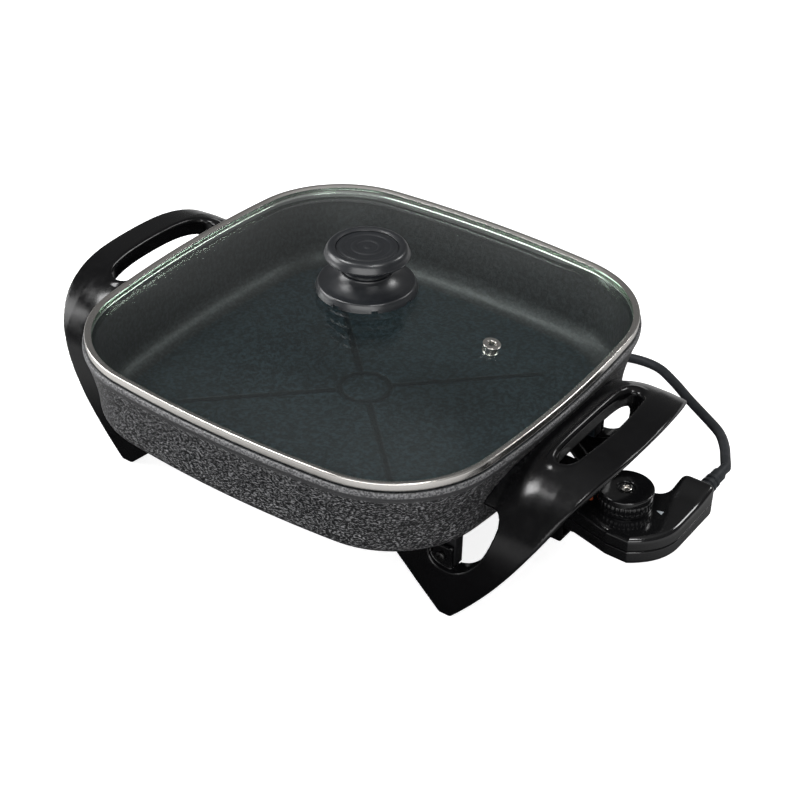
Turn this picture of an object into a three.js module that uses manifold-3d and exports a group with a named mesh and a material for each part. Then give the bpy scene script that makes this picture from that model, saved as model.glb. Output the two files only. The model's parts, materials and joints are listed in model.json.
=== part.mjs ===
// Electric skillet: a square cast pan on two arched handles, a domed glass lid, a plug-in heat control.
// Millimetres. +X runs from the left handle to the heat control, -Y is the front and +Z is up. The floor is
// z = 0.

import * as THREE from 'three';
import { mergeVertices } from 'three/addons/utils/BufferGeometryUtils.js';
import Module from 'manifold-3d';

const wasm = await Module();
wasm.setup();

// Fits shared by all pieces
const clearance = 0.3;
const overrun = 2;
const weldTolerance = 0.0001;

// Number of steps in the round forms
const steps = {
  side: 4,
  corner: 6,
  bend: 5,
  cove: 3,
  arch: 24,
  curve: 5,
  hole: 12,
  small: 8,
  edge: 2,
  knob: 32,
  tube: 8,
  elementRings: 60,
  leadRings: 34,
};

// Outline that the pan, the steel rim and the glass share: a square with bowed sides and round corners
const outline = {
  half: 155,
  sideRadius: 795,
  cornerRadius: 77,
};

const pan = {
  underside: 59,
  height: 55.2,
  wall: 4,
  base: 5,
  footInset: 7,
  footRadius: 12,
  coveRadius: 17,
  bellyPower: 1.6,
  lipOut: 1.6,
  lipHeight: 3.6,
  lipRound: 1,
  bandHeight: 4,
};
const panRim = pan.underside + pan.height;

const lid = {
  bandHeight: 6.2,
  bandWidth: 4.5,
  steel: 0.8,
  glass: 4,
  dome: 22.5,
  edge: 5,
  domePower: 3,
  boltHole: 4,
  ventHole: 5,
  ventBore: 2.6,
  ventFlange: 6.6,
  ventInset: 59,
};
const lidSeat = panRim + clearance;
const lidTop = lidSeat + lid.bandHeight;

const knob = {
  collarRadius: 33.5,
  collarSide: 5.5,
  coneTop: 13.5,
  neckRadius: 17,
  gripRadius: 27.7,
  gripHeight: 17.5,
  gripDish: 1.2,
  edge: 1,
  capRings: 2,
  ringDepth: 0.6,
  capRadius: 20,
  capHeight: 2.2,
  notchWidth: 3.5,
  notchHeight: 1.8,
  notches: 8,
  screwRadius: 2.5,
  screwHeadRadius: 5.5,
  screwHeadHeight: 3,
  washerRadius: 12,
  washerHeight: 1.2,
  sealRadius: 14,
  sealHeight: 1.5,
};

// The arched handles: every x here is measured outwards from the side of the square outline
const handle = {
  archHalf: 96,
  archHeight: 112.5,
  archPower: 3.5,
  crownStart: -1,
  crownWidth: 23,
  crownDrop: 6,
  droop: 2.2,
  skin: 3.5,
  flange: 3,
  depth: 13,
  footInner: -27.7,
  footOuter: -19,
  shoulderReach: 42.6,
  shoulderHeight: 91.4,
  bulge: 5.9,
  legRoot: -91,
  legCut: -61,
  planRadius: 256,
  reach: 56.2,
  slotReach: 33,
  slotInner: 15.8,
  slotHalf: 47.5,
  slotCorner: 9,
  ribPlace: 62,
  ribWidth: 2.5,
};

// The opening between leg and pan, with every x measured from the side of the square outline
const legWindow = {
  left: -38,
  bottom: 35,
  lowest: -24,
  right: 5.5,
  rightHeight: 76,
  top: 84,
};

const legScrew = {
  place: -29,
  height: 42.5,
  radius: 2,
  headRadius: 3.2,
  headHeight: 2,
  length: 12,
  padWidth: 15,
  padHeight: 17,
  padDepth: 3.5,
  padRecess: 3.2,
  lugDepth: 9,
};

const element = {
  radius: 3.5,
  inset: 71,
  corner: 42,
  gate: 14,
  gatePlace: -55,
  riseRun: 14,
  saddleWall: 3,
  saddleLength: 14,
  saddleDrop: 6,
  pinRadius: 2.4,
  pinLength: 26,
  sheathEnd: -25,
};

// The socket, the rod and the pins share one height. Every x is measured from the side of the square outline.
const socket = {
  height: 45,
  outerHalf: 24,
  wall: 3,
  lower: 15.5,
  back: -21,
  mouth: 15,
  flangeLength: 14,
  flangeHeight: 3,
  screwPlace: 17,
  screwRadius: 1.8,
  screwHeadRadius: 3.4,
  screwHeadHeight: 2.2,
  screwLength: 6.5,
};

const rod = {
  radius: 3,
  tip: -79,
  wellLength: 48,
  wellStart: -83,
  wellWall: 4,
  wellGap: 0.5,
};

// The heat control, with every x measured from the side of the square outline
const probe = {
  top: 60,
  split: 50,
  bottom: 40,
  wall: 1.8,
  round: 3.5,
  noseStart: -14,
  noseHalf: 19,
  noseTop: 54,
  noseBottom: 36,
  noseRound: 4,
  armHalf: 22,
  armStart: 16,
  front: 30,
  frontRun: 15.5,
  frontBend: 19,
  reach: 83.5,
  bendPlace: -16.5,
  bendEnd: 3,
  tail: 48,
  tailRound: 5.4,
  tailWidth: 23,
  notch: 12,
  bossInset: 5,
  bossTailInset: 16,
  tailPinRadius: 1.5,
  sleeveRadius: 4,
  sleeveBore: 2.8,
  sleeveLength: 18,
  screwRadius: 1.4,
  screwHeadRadius: 2.8,
  screwHeadHeight: 2,
  bossRadius: 3.6,
};

const thermostat = {
  length: 16,
  half: 15.5,
  thickness: 8,
  bladeWidth: 5,
  bladeThickness: 0.8,
  bladeLength: 22,
  bladeGap: 1.6,
  bladeSeat: 8,
};

const lamp = {
  x: 24,
  y: -8,
  radius: 2.4,
  lip: 1,
  proud: 0.8,
};

const dial = {
  x: 44.5,
  radius: 17.6,
  knurlDepth: 0.6,
  knurls: 36,
  height: 12.5,
  skirt: 2,
  band: 6,
  chamfer: 1,
  recessRadius: 5.6,
  recessDepth: 2,
  web: 2.6,
  shaftRadius: 3,
  camRadius: 6,
  camHeight: 2.4,
  camLift: 1.2,
  screwRadius: 1.5,
  screwHeadRadius: 3.6,
  screwHeadHeight: 1.6,
  screwLength: 8,
};

const relief = {
  height: 49,
  length: 29,
  startRadius: 6,
  endRadius: 4.6,
  ribs: 4,
  ribWidth: 3,
  ribGap: 2.4,
  ribDepth: 1.1,
  collarRadius: 7,
  collarWidth: 2.4,
};

// The lead: its free route from the strain relief to the coil, chosen by hand, with heights above the floor
const lead = {
  radius: 3.5,
  rise: 1.1,
  coilX: -25,
  coilY: 232,
  coilRadius: 42.5,
  turnPitch: 7.8,
  layerPitch: 7.6,
  turns: 3,
  loopSteps: 24,
  loopSides: 6,
  tailRun: 46,
};
const freeRoute = [
  [227, 86, 48.6],
  [221, 98, 46],
  [211.6, 116.3, 41],
  [198.6, 136, 35],
  [181, 153.8, 29],
  [156.6, 176, 22],
  [129.3, 202, 14],
  [108.7, 217.5, 9],
  [88, 221, 6],
  [64, 213, 4.8],
  [40, 200, 4.6],
  [12, 190.7, 4.6],
];

const tie = {
  width: 9,
  thickness: 0.8,
  gap: 0.7,
};

const plug = {
  length: 34,
  width: 26,
  height: 14,
  round: 3,
  tailLength: 12,
  tailRadius: 5,
  pinRadius: 2,
  pinSpacing: 19,
  pinLength: 19,
  pinSeat: 5,
};

function material(name, color, roughness, metalness, more = {}) {
  return new THREE.MeshStandardMaterial({ name, color, roughness, metalness, ...more });
}

const finish = {
  coating: material('coating', 0x1d1f20, 0.5, 0.3),
  steel: material('steel', 0xc9c7c0, 0.25, 1),
  glass: material('glass', 0xdfe8e4, 0.05, 0, { transparent: true, opacity: 0.3 }),
  phenolic: material('phenolic', 0x111112, 0.3, 0),
  housing: material('housing', 0x0d0d0e, 0.2, 0),
  rubber: material('rubber', 0x161616, 0.7, 0),
  brass: material('brass', 0xb89b5e, 0.35, 1),
  ceramic: material('ceramic', 0xd9d3c4, 0.8, 0),
  lens: material('lens', 0xc8502e, 0.1, 0),
};

// The heat control plugs in at the pan's side, and its own x is measured from there
const skillet = new THREE.Group();
const heatControl = new THREE.Group();
heatControl.position.x = outline.half;
skillet.add(heatControl);

function piece(name, solid, itsFinish, parent = skillet) {
  const mesh = new THREE.Mesh(solid.isBufferGeometry ? solid : geometryOf(solid), itsFinish);
  mesh.name = name;
  parent.add(mesh);
  return mesh;
}

function controlPiece(name, solid, itsFinish) {
  return piece(name, solid, itsFinish, heatControl);
}

// Solids

function solidOf(geometry) {
  const bare = geometry.clone();
  bare.deleteAttribute('normal');
  bare.deleteAttribute('uv');
  const welded = mergeVertices(bare, weldTolerance);
  const points = welded.attributes.position.array;
  const corners = welded.index.array;
  const kept = [];
  let volume = 0;
  const a = new THREE.Vector3();
  const b = new THREE.Vector3();
  const c = new THREE.Vector3();
  for (let i = 0; i < corners.length; i += 3) {
    const [p, q, r] = corners.slice(i, i + 3);
    if (p === q || q === r || r === p) continue;
    kept.push(p, q, r);
    a.fromArray(points, 3 * p);
    b.fromArray(points, 3 * q);
    c.fromArray(points, 3 * r);
    volume += a.dot(b.cross(c));
  }
  if (volume < 0) kept.reverse();
  const mesh = new wasm.Mesh({
    numProp: 3,
    vertProperties: new Float32Array(points),
    triVerts: new Uint32Array(kept),
  });
  return new wasm.Manifold(mesh);
}

function geometryOf(solid) {
  const mesh = solid.getMesh();
  const geometry = new THREE.BufferGeometry();
  geometry.setAttribute('position', new THREE.BufferAttribute(new Float32Array(mesh.vertProperties), 3));
  geometry.setIndex(new THREE.BufferAttribute(new Uint32Array(mesh.triVerts), 1));
  geometry.computeVertexNormals();
  return geometry;
}

function join(first, ...others) {
  return others.reduce((whole, other) => whole.add(other), first);
}

function cut(first, ...others) {
  return others.reduce((whole, other) => whole.subtract(other), first);
}

function mirrored(geometry) {
  const copy = geometry.clone().scale(-1, 1, 1);
  copy.setIndex([...geometry.index.array].reverse());
  copy.computeVertexNormals();
  return copy;
}

// A block between two corners
function block(x0, x1, y0, y1, z0, z1) {
  const geometry = new THREE.BoxGeometry(x1 - x0, y1 - y0, z1 - z0);
  return solidOf(geometry.translate((x0 + x1) / 2, (y0 + y1) / 2, (z0 + z1) / 2));
}

// A round bar between two points
function bar(radius, from, to, sides = steps.small) {
  const axis = new THREE.Vector3().subVectors(to, from);
  const geometry = new THREE.CylinderGeometry(radius, radius, axis.length(), sides);
  const upright = new THREE.Vector3(0, 1, 0);
  const turn = new THREE.Quaternion().setFromUnitVectors(upright, axis.clone().normalize());
  const middle = new THREE.Vector3().addVectors(from, to).multiplyScalar(0.5);
  return solidOf(geometry.applyQuaternion(turn).translate(middle.x, middle.y, middle.z));
}

function point(x, y, z) {
  return new THREE.Vector3(x, y, z);
}

// A solid made about the pan's side moves to its place
function outToSide(solid) {
  return solid.translate([outline.half, 0, 0]);
}

// A solid made about the middle moves to where it is as seen from the pan's side
function seenFromSide(solid) {
  return solid.translate([-outline.half, 0, 0]);
}

// A turned solid about Z from [radius, height] points that start and end on the axis or close on themselves
function turned(profile, sides) {
  const points = profile.map(([radius, height]) => new THREE.Vector2(radius, height));
  return solidOf(new THREE.LatheGeometry(points, sides).rotateX(Math.PI / 2));
}

function shapeOf(points) {
  return new THREE.Shape(points.map(([x, y]) => new THREE.Vector2(x, y)));
}

function extruded(shape, depth) {
  return new THREE.ExtrudeGeometry(shape, { depth, bevelEnabled: false, curveSegments: steps.curve });
}

// A flat shape in (x, y) raised from z0 to z1
function raised(shape, z0, z1) {
  return solidOf(extruded(shape, z1 - z0).translate(0, 0, z0));
}

// A flat shape in (x, z) drawn from y0 to y1
function drawnAlongY(shape, y0, y1) {
  return solidOf(extruded(shape, y1 - y0).rotateX(Math.PI / 2).translate(0, y1, 0));
}

// A flat shape in (y, z) drawn from x0 to x1
function drawnAlongX(shape, x0, x1) {
  const turn = new THREE.Matrix4().makeBasis(point(0, 1, 0), point(0, 0, 1), point(1, 0, 0));
  return solidOf(extruded(shape, x1 - x0).applyMatrix4(turn).translate(x0, 0, 0));
}

// The points of a shape, moved outwards by a distance along their mean normals
function grown(shape, distance) {
  const points = shape.getPoints(steps.curve);
  if (points[0].distanceTo(points.at(-1)) < weldTolerance) points.pop();
  if (THREE.ShapeUtils.isClockWise(points)) points.reverse();
  const moved = points.map((here, i) => {
    const before = points.at(i - 1);
    const after = points[(i + 1) % points.length];
    const along = new THREE.Vector2().subVectors(here, before).normalize();
    const onwards = new THREE.Vector2().subVectors(after, here).normalize();
    const normal = new THREE.Vector2(along.y + onwards.y, -along.x - onwards.x).normalize();
    const lean = normal.x * onwards.y - normal.y * onwards.x;
    return here.clone().addScaledVector(normal, distance / lean);
  });
  return new THREE.Shape(moved);
}

// A flat shape in (x, y) built up in layers of { inset, height }
function stacked(shape, layers) {
  const outlines = layers.map(({ inset }) => grown(shape, -inset).getPoints());
  const count = outlines[0].length;
  const positions = outlines.flatMap(
    (points, layer) => points.flatMap(({ x, y }) => [x, y, layers[layer].height]),
  );
  const faces = [];
  for (let layer = 1; layer < layers.length; layer += 1) {
    for (let i = 0; i < count; i += 1) {
      const j = (i + 1) % count;
      const [below, above] = [(layer - 1) * count, layer * count];
      faces.push(below + i, below + j, above + j, below + i, above + j, above + i);
    }
  }
  const end = (layers.length - 1) * count;
  for (const [a, b, c] of THREE.ShapeUtils.triangulateShape(outlines[0], [])) faces.push(a, c, b);
  for (const corners of THREE.ShapeUtils.triangulateShape(outlines.at(-1), [])) {
    faces.push(...corners.map((corner) => end + corner));
  }
  const geometry = new THREE.BufferGeometry();
  geometry.setAttribute('position', new THREE.Float32BufferAttribute(positions, 3));
  geometry.setIndex(faces);
  return solidOf(geometry);
}

// Layers of a block from bottom to top whose edges are rounded
function roundedLayers(bottom, top, radius) {
  const layers = [];
  for (let i = 0; i <= steps.edge; i += 1) {
    const angle = (Math.PI * i) / (2 * steps.edge);
    layers.push({ inset: radius * (1 - Math.sin(angle)), height: bottom + radius * (1 - Math.cos(angle)) });
  }
  const upper = layers.map(({ inset, height }) => ({ inset, height: bottom + top - height }));
  return [...layers, ...upper.reverse()];
}

// A closed skin over rings of equal count; an open stack is capped at both ends
function skin(rings, closedStack) {
  const count = rings[0].length;
  const positions = rings.flat().flatMap((p) => [p.x, p.y, p.z]);
  const faces = [];
  const last = closedStack ? rings.length : rings.length - 1;
  for (let r = 0; r < last; r += 1) {
    const next = (r + 1) % rings.length;
    for (let i = 0; i < count; i += 1) {
      const j = (i + 1) % count;
      const [a, b, c, d] = [r * count + i, r * count + j, next * count + j, next * count + i];
      faces.push(a, b, c, a, c, d);
    }
  }
  if (!closedStack) {
    const end = (rings.length - 1) * count;
    for (let i = 1; i < count - 1; i += 1) {
      faces.push(0, i + 1, i, end, end + i, end + i + 1);
    }
  }
  const geometry = new THREE.BufferGeometry();
  geometry.setAttribute('position', new THREE.Float32BufferAttribute(positions, 3));
  geometry.setIndex(faces);
  return geometry;
}

// The square outline, moved in by an inset and then scaled towards the middle
function squareRing(inset, height, share = 1) {
  const { half, sideRadius, cornerRadius } = outline;
  const middle = sideRadius - half;
  const radiusStep = sideRadius - cornerRadius;
  const corner = (Math.sqrt(2 * radiusStep ** 2 - middle ** 2) - middle) / 2;
  const sideAngle = Math.atan2(corner, corner + middle);
  const ring = [];
  const add = (x, y, quarter) => {
    const [c, s] = [Math.cos((quarter * Math.PI) / 2), Math.sin((quarter * Math.PI) / 2)];
    ring.push(point(share * (c * x - s * y), share * (s * x + c * y), height));
  };
  for (let quarter = 0; quarter < 4; quarter += 1) {
    for (let i = 0; i < steps.side; i += 1) {
      const angle = sideAngle * ((2 * i) / steps.side - 1);
      const radius = sideRadius - inset;
      add(radius * Math.cos(angle) - middle, radius * Math.sin(angle), quarter);
    }
    for (let i = 0; i < steps.corner; i += 1) {
      const angle = sideAngle + (Math.PI / 2 - 2 * sideAngle) * (i / steps.corner);
      const radius = cornerRadius - inset;
      add(corner + radius * Math.cos(angle), corner + radius * Math.sin(angle), quarter);
    }
  }
  return ring;
}

// A solid turned round the square outline from rows of { inset, height, share }
function squareTurned(profile, closed = false) {
  const rings = profile.map(({ inset, height, share }) => squareRing(inset, height, share));
  return solidOf(skin(rings, closed));
}

function quarterRound(inset, height, radius, fromAngle, toAngle, count = steps.cove) {
  const rows = [];
  for (let i = 0; i <= count; i += 1) {
    const angle = fromAngle + ((toAngle - fromAngle) * i) / count;
    rows.push({ inset: inset - radius * Math.cos(angle), height: height + radius * Math.sin(angle) });
  }
  return rows;
}

// Pan

const foot = pan.underside + pan.footRadius;
const bandFoot = panRim - pan.lipHeight - pan.bandHeight;

// How far the pan's wall stands in from the outline at a height
function wallInset(height) {
  const climb = Math.min(Math.max((height - foot) / (bandFoot - foot), 0), 1);
  return pan.footInset * (1 - climb ** pan.bellyPower);
}

const wallShares = [0.3, 0.65, 1];

function outerWall(extra) {
  const rows = quarterRound(pan.footInset + pan.footRadius, foot, pan.footRadius + extra, -Math.PI / 2, 0);
  for (const share of wallShares) {
    const height = foot + share * (bandFoot - foot);
    rows.push({ inset: wallInset(height) - extra, height });
  }
  rows.push({ inset: -pan.lipOut - extra, height: panRim - pan.lipHeight });
  return rows;
}

// Everything inside the pan's outer surface, with a margin, up past the rim and the handles
function panEnvelope(extra) {
  return squareTurned([
    ...outerWall(extra),
    { inset: -pan.lipOut - extra, height: lidTop + handle.archHeight },
  ]);
}

function panShell() {
  const floorHeight = pan.underside + pan.base;
  const cove = floorHeight + pan.coveRadius;
  const coveInset = wallInset(cove) + pan.wall + pan.coveRadius;
  const inner = wallShares.map((share) => {
    const height = panRim - pan.lipRound - share * (panRim - pan.lipRound - cove);
    return { inset: wallInset(height) + pan.wall, height };
  });
  return squareTurned([
    ...outerWall(0),
    { inset: -pan.lipOut, height: panRim - pan.lipRound },
    { inset: pan.lipRound - pan.lipOut, height: panRim },
    { inset: pan.wall, height: panRim },
    ...inner,
    ...quarterRound(coveInset, cove, pan.coveRadius, 0, -Math.PI / 2).slice(1),
  ]);
}

const legPlaces = [[1, -1], [1, 1], [-1, -1], [-1, 1]];
const legScrewX = outline.half + legScrew.place;
const padBack = handle.archHalf - legScrew.padRecess - legScrew.padDepth;
const lugFront = padBack - clearance;

// A lug under one corner of the pan, or with a margin the room that a leg leaves for it
function lug(sideX, sideY, margin = 0) {
  const half = legScrew.padWidth / 2 + margin;
  const near = lugFront - legScrew.lugDepth - margin;
  const [x0, x1] = [sideX * legScrewX - half, sideX * legScrewX + half];
  const [y0, y1] = sideY > 0 ? [near, lugFront + margin] : [-lugFront - margin, -near];
  return block(x0, x1, y0, y1, legScrew.height - legScrew.padHeight / 2 - margin, foot);
}

function legScrewBore(sideX, sideY, radius) {
  const x = sideX * legScrewX;
  const depth = handle.archHalf - legScrew.padRecess - legScrew.length;
  return bar(
    radius,
    point(x, sideY * (handle.archHalf + overrun), legScrew.height),
    point(x, sideY * (depth - clearance), legScrew.height),
  );
}

const elementHeight = pan.underside - 2 * clearance - element.radius;
const elementHalf = outline.half - element.inset;
const wellStart = outline.half + rod.wellStart;
const guardBack = outline.half + socket.back;

// Two short walls that hold the element's tube against the underside
function saddle(x, y, alongX) {
  const inner = element.radius + clearance;
  const outer = inner + element.saddleWall;
  const run = element.saddleLength / 2;
  const bottom = pan.underside - element.saddleDrop;
  const top = pan.underside + pan.base / 2;
  const walls = [[-outer, -inner], [inner, outer]];
  return walls.map(([a, b]) => (alongX
    ? block(x - run, x + run, y + a, y + b, bottom, top)
    : block(x + a, x + b, y - run, y + run, bottom, top)));
}

function sensorWell() {
  const half = rod.radius + rod.wellGap + rod.wellWall;
  return block(
    wellStart,
    wellStart + rod.wellLength,
    -half,
    half,
    socket.height - half,
    pan.underside + pan.base / 2,
  );
}

const guardScrewSeat = pan.underside - 2 * clearance - socket.flangeHeight;

function guardScrewBore(side, radius) {
  const x = guardBack - socket.flangeLength / 2;
  const top = guardScrewSeat + socket.screwLength + clearance;
  return bar(
    radius,
    point(x, side * socket.screwPlace, guardScrewSeat - overrun),
    point(x, side * socket.screwPlace, top),
  );
}

function makePan() {
  const wellBore = bar(
    rod.radius + rod.wellGap,
    point(outline.half + rod.tip - rod.wellGap - clearance, 0, socket.height),
    point(wellStart + rod.wellLength + overrun, 0, socket.height),
    steps.hole,
  );
  const inside = squareTurned([
    ...quarterRound(
      wallInset(pan.underside + pan.base + pan.coveRadius) + pan.wall + pan.coveRadius,
      pan.underside + pan.base + pan.coveRadius,
      pan.coveRadius,
      -Math.PI / 2,
      0,
    ),
    { inset: pan.wall, height: lidTop },
  ]);
  const saddleY = elementHalf - element.corner - element.saddleLength / 2;
  const added = [
    sensorWell(),
    ...legPlaces.map(([x, y]) => lug(x, y)),
    ...saddle(0, elementHalf, true),
    ...saddle(0, -elementHalf, true),
    ...saddle(-elementHalf, 0, false),
    ...saddle(elementHalf, saddleY, false),
    ...saddle(elementHalf, -saddleY, false),
  ];
  const body = cut(join(panShell(), ...added), inside);
  return cut(
    body,
    wellBore,
    guardScrewBore(1, socket.screwRadius + clearance),
    guardScrewBore(-1, socket.screwRadius + clearance),
    ...legPlaces.map(([x, y]) => legScrewBore(x, y, legScrew.radius + clearance)),
  );
}

piece('pan_body', makePan(), finish.coating);

// Heating element: one tube round the underside, with both ends turned down to the socket

const straightShares = [-0.8, 0, 0.8];

// Points of an arc in the element's plane
function arc(centreX, centreY, radius, from, to) {
  const points = [];
  for (let i = 0; i <= steps.bend; i += 1) {
    const angle = from + ((to - from) * i) / steps.bend;
    points.push(point(centreX + radius * Math.cos(angle), centreY + radius * Math.sin(angle), elementHeight));
  }
  return points;
}

// The end that comes in from the socket, climbs to the underside and turns along the pan's side
function elementEnd(side) {
  const gateX = outline.half + element.gatePlace;
  const bend = elementHalf - gateX + 2 * element.riseRun;
  return [
    point(outline.half + element.sheathEnd, side * element.gate, socket.height),
    point(gateX + element.riseRun, side * element.gate, socket.height),
    point(gateX, side * element.gate, elementHeight),
    point(elementHalf + element.riseRun / 2, side * (element.gate + bend / 4), elementHeight),
    point(elementHalf, side * (element.gate + bend), elementHeight),
  ];
}

// A round tube along points, closed at both ends
function tube(points, radius, sides, ringSteps) {
  const path = new THREE.CatmullRomCurve3(points, false, 'centripetal');
  const section = new THREE.Shape();
  for (let i = 0; i < sides; i += 1) {
    const angle = (2 * Math.PI * i) / sides;
    const [x, y] = [radius * Math.cos(angle), radius * Math.sin(angle)];
    if (i === 0) section.moveTo(x, y);
    else section.lineTo(x, y);
  }
  section.closePath();
  return new THREE.ExtrudeGeometry(section, { steps: ringSteps, extrudePath: path, bevelEnabled: false });
}

function makeElement() {
  const half = elementHalf;
  const { corner } = element;
  const core = half - corner;
  const straight = straightShares.map((share) => core * share);
  const loop = [
    ...elementEnd(1),
    ...arc(core, core, corner, 0, Math.PI / 2),
    ...straight.map((x) => point(-x, half, elementHeight)),
    ...arc(-core, core, corner, Math.PI / 2, Math.PI),
    ...straight.map((y) => point(-half, -y, elementHeight)),
    ...arc(-core, -core, corner, Math.PI, 1.5 * Math.PI),
    ...straight.map((x) => point(x, -half, elementHeight)),
    ...arc(core, -core, corner, 1.5 * Math.PI, 2 * Math.PI),
    ...elementEnd(-1).reverse(),
  ];
  return tube(loop, element.radius, steps.tube, steps.elementRings);
}

piece('heating_element', solidOf(makeElement()), finish.steel);

function makeTerminalPin(side) {
  const start = outline.half + element.sheathEnd + clearance;
  const y = side * element.gate;
  const end = start + element.pinLength;
  return bar(element.pinRadius, point(start, y, socket.height), point(end, y, socket.height));
}

piece('terminal_pin_front', makeTerminalPin(-1), finish.steel);
piece('terminal_pin_rear', makeTerminalPin(1), finish.steel);

// Socket guard

function makeSocketGuard() {
  const top = pan.underside - clearance;
  const bottom = socket.height - socket.lower;
  const { outerHalf: half, wall } = socket;
  const back = guardBack;
  const mouth = outline.half + socket.mouth;
  const shell = block(back, mouth, -half, half, bottom, top);
  const hollow = block(back + wall, mouth + overrun, wall - half, half - wall, bottom + wall, top - wall);
  const flange = block(back - socket.flangeLength, back + wall, -half, half, top - socket.flangeHeight, top);
  const holes = [
    [0, rod.radius + rod.wellGap + clearance],
    [element.gate, element.pinRadius + 2 * clearance],
    [-element.gate, element.pinRadius + 2 * clearance],
  ].map(([y, radius]) => bar(
    radius,
    point(back - overrun, y, socket.height),
    point(back + wall + overrun, y, socket.height),
    steps.hole,
  ));
  return cut(
    join(cut(shell, hollow), flange),
    ...holes,
    guardScrewBore(1, socket.screwRadius + clearance),
    guardScrewBore(-1, socket.screwRadius + clearance),
    panEnvelope(clearance),
  );
}

function makeGuardScrew(side) {
  const x = guardBack - socket.flangeLength / 2;
  const y = side * socket.screwPlace;
  const seat = guardScrewSeat;
  const head = bar(socket.screwHeadRadius, point(x, y, seat - socket.screwHeadHeight), point(x, y, seat));
  const shank = bar(
    socket.screwRadius,
    point(x, y, seat - socket.screwHeadHeight / 2),
    point(x, y, seat + socket.screwLength),
  );
  return join(head, shank);
}

piece('socket_guard', makeSocketGuard(), finish.phenolic);
piece('guard_screw_front', makeGuardScrew(-1), finish.steel);
piece('guard_screw_rear', makeGuardScrew(1), finish.steel);

// Handles: an arched moulding with a folded edge, cut by a front outline, a plan outline, a finger slot
// and a window in each leg. It is made about the pan's side, where x is 0.

// One arch outline in (y, z), moved in by an inset and down by a drop, open downwards past the floor
function archRing(x, inset, drop) {
  const half = handle.archHalf - inset;
  const height = handle.archHeight - inset - drop;
  const ring = [point(x, -half, -overrun)];
  for (let i = 0; i <= steps.arch; i += 1) {
    const angle = (Math.PI * i) / steps.arch;
    const across = Math.cos(angle);
    const y = -Math.sign(across) * half * Math.abs(across) ** (2 / handle.archPower);
    ring.push(point(x, y, height * Math.max(Math.sin(angle), 0) ** (2 / handle.archPower)));
  }
  ring.push(point(x, half, -overrun));
  return ring;
}

const crownShares = [0, 0.25, 0.5, 0.75, 1];

// The arch rises in a crown from the pan's wall and droops a little towards its outer edge
function archSolid(inset) {
  const rings = [archRing(handle.legCut - handle.depth, inset, handle.crownDrop)];
  for (const share of crownShares) {
    const x = handle.crownStart + share * handle.crownWidth;
    rings.push(archRing(x, inset, handle.crownDrop * (1 - share) ** 2));
  }
  rings.push(archRing(handle.slotReach, inset, 0));
  rings.push(archRing(handle.reach + overrun, inset, handle.droop));
  return solidOf(skin(rings, false));
}

// The handle seen from the front, in (x, z)
function frontOutline() {
  const top = handle.archHeight + handle.depth;
  const lean = (handle.footInner - handle.legRoot) / pan.underside;
  const shape = new THREE.Shape();
  shape.moveTo(handle.footInner, 0);
  shape.lineTo(handle.footOuter, 0);
  shape.quadraticCurveTo(
    (handle.footOuter + handle.shoulderReach) / 2 + handle.bulge,
    (handle.shoulderHeight / 2) - handle.bulge,
    handle.shoulderReach,
    handle.shoulderHeight,
  );
  shape.lineTo(handle.reach + handle.depth, top);
  shape.lineTo(handle.legCut, top);
  shape.lineTo(handle.legCut, (handle.footInner - handle.legCut) / lean);
  return shape;
}

// The handle seen from above, in (x, y): the outer edge is one arc
function planOutline() {
  const centre = handle.reach - handle.planRadius;
  const half = handle.archHalf + handle.depth;
  const sweep = Math.asin(half / handle.planRadius);
  const points = [];
  for (let i = 0; i <= 2 * steps.curve; i += 1) {
    const angle = -sweep + (sweep * i) / steps.curve;
    points.push([centre + handle.planRadius * Math.cos(angle), handle.planRadius * Math.sin(angle)]);
  }
  points.push([handle.legCut, half], [handle.legCut, -half]);
  return shapeOf(points);
}

// The finger slot seen from above: its outer edge runs along the handle's outer edge
function slotOutline() {
  const centre = handle.reach - handle.planRadius;
  const radius = handle.slotReach - centre;
  const straight = handle.slotHalf - handle.slotCorner;
  const sweep = Math.asin(straight / radius);
  const middle = (handle.slotInner + centre + radius * Math.cos(sweep)) / 2;
  const shape = new THREE.Shape();
  shape.moveTo(handle.slotInner, straight);
  shape.lineTo(handle.slotInner, -straight);
  shape.quadraticCurveTo(handle.slotInner, -handle.slotHalf, middle, -handle.slotHalf);
  shape.quadraticCurveTo(
    centre + radius * Math.cos(sweep),
    -handle.slotHalf,
    centre + radius * Math.cos(sweep),
    -straight,
  );
  shape.absarc(centre, 0, radius, -sweep, sweep, false);
  shape.quadraticCurveTo(centre + radius * Math.cos(sweep), handle.slotHalf, middle, handle.slotHalf);
  shape.quadraticCurveTo(handle.slotInner, handle.slotHalf, handle.slotInner, straight);
  return shape;
}

// The window between leg and pan, in (x, z)
function windowOutline() {
  const { left, bottom, lowest, right, rightHeight, top } = legWindow;
  const shape = new THREE.Shape();
  shape.moveTo(left, pan.underside + overrun);
  shape.lineTo(left, bottom + handle.depth);
  shape.quadraticCurveTo(left, bottom, lowest, bottom);
  shape.bezierCurveTo(
    (lowest + right) / 2,
    bottom,
    right - handle.flange,
    (bottom + rightHeight) / 2 - handle.flange,
    right,
    rightHeight,
  );
  shape.lineTo(right - handle.flange, top);
  shape.lineTo(handle.crownStart - handle.depth, top);
  return shape;
}

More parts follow.
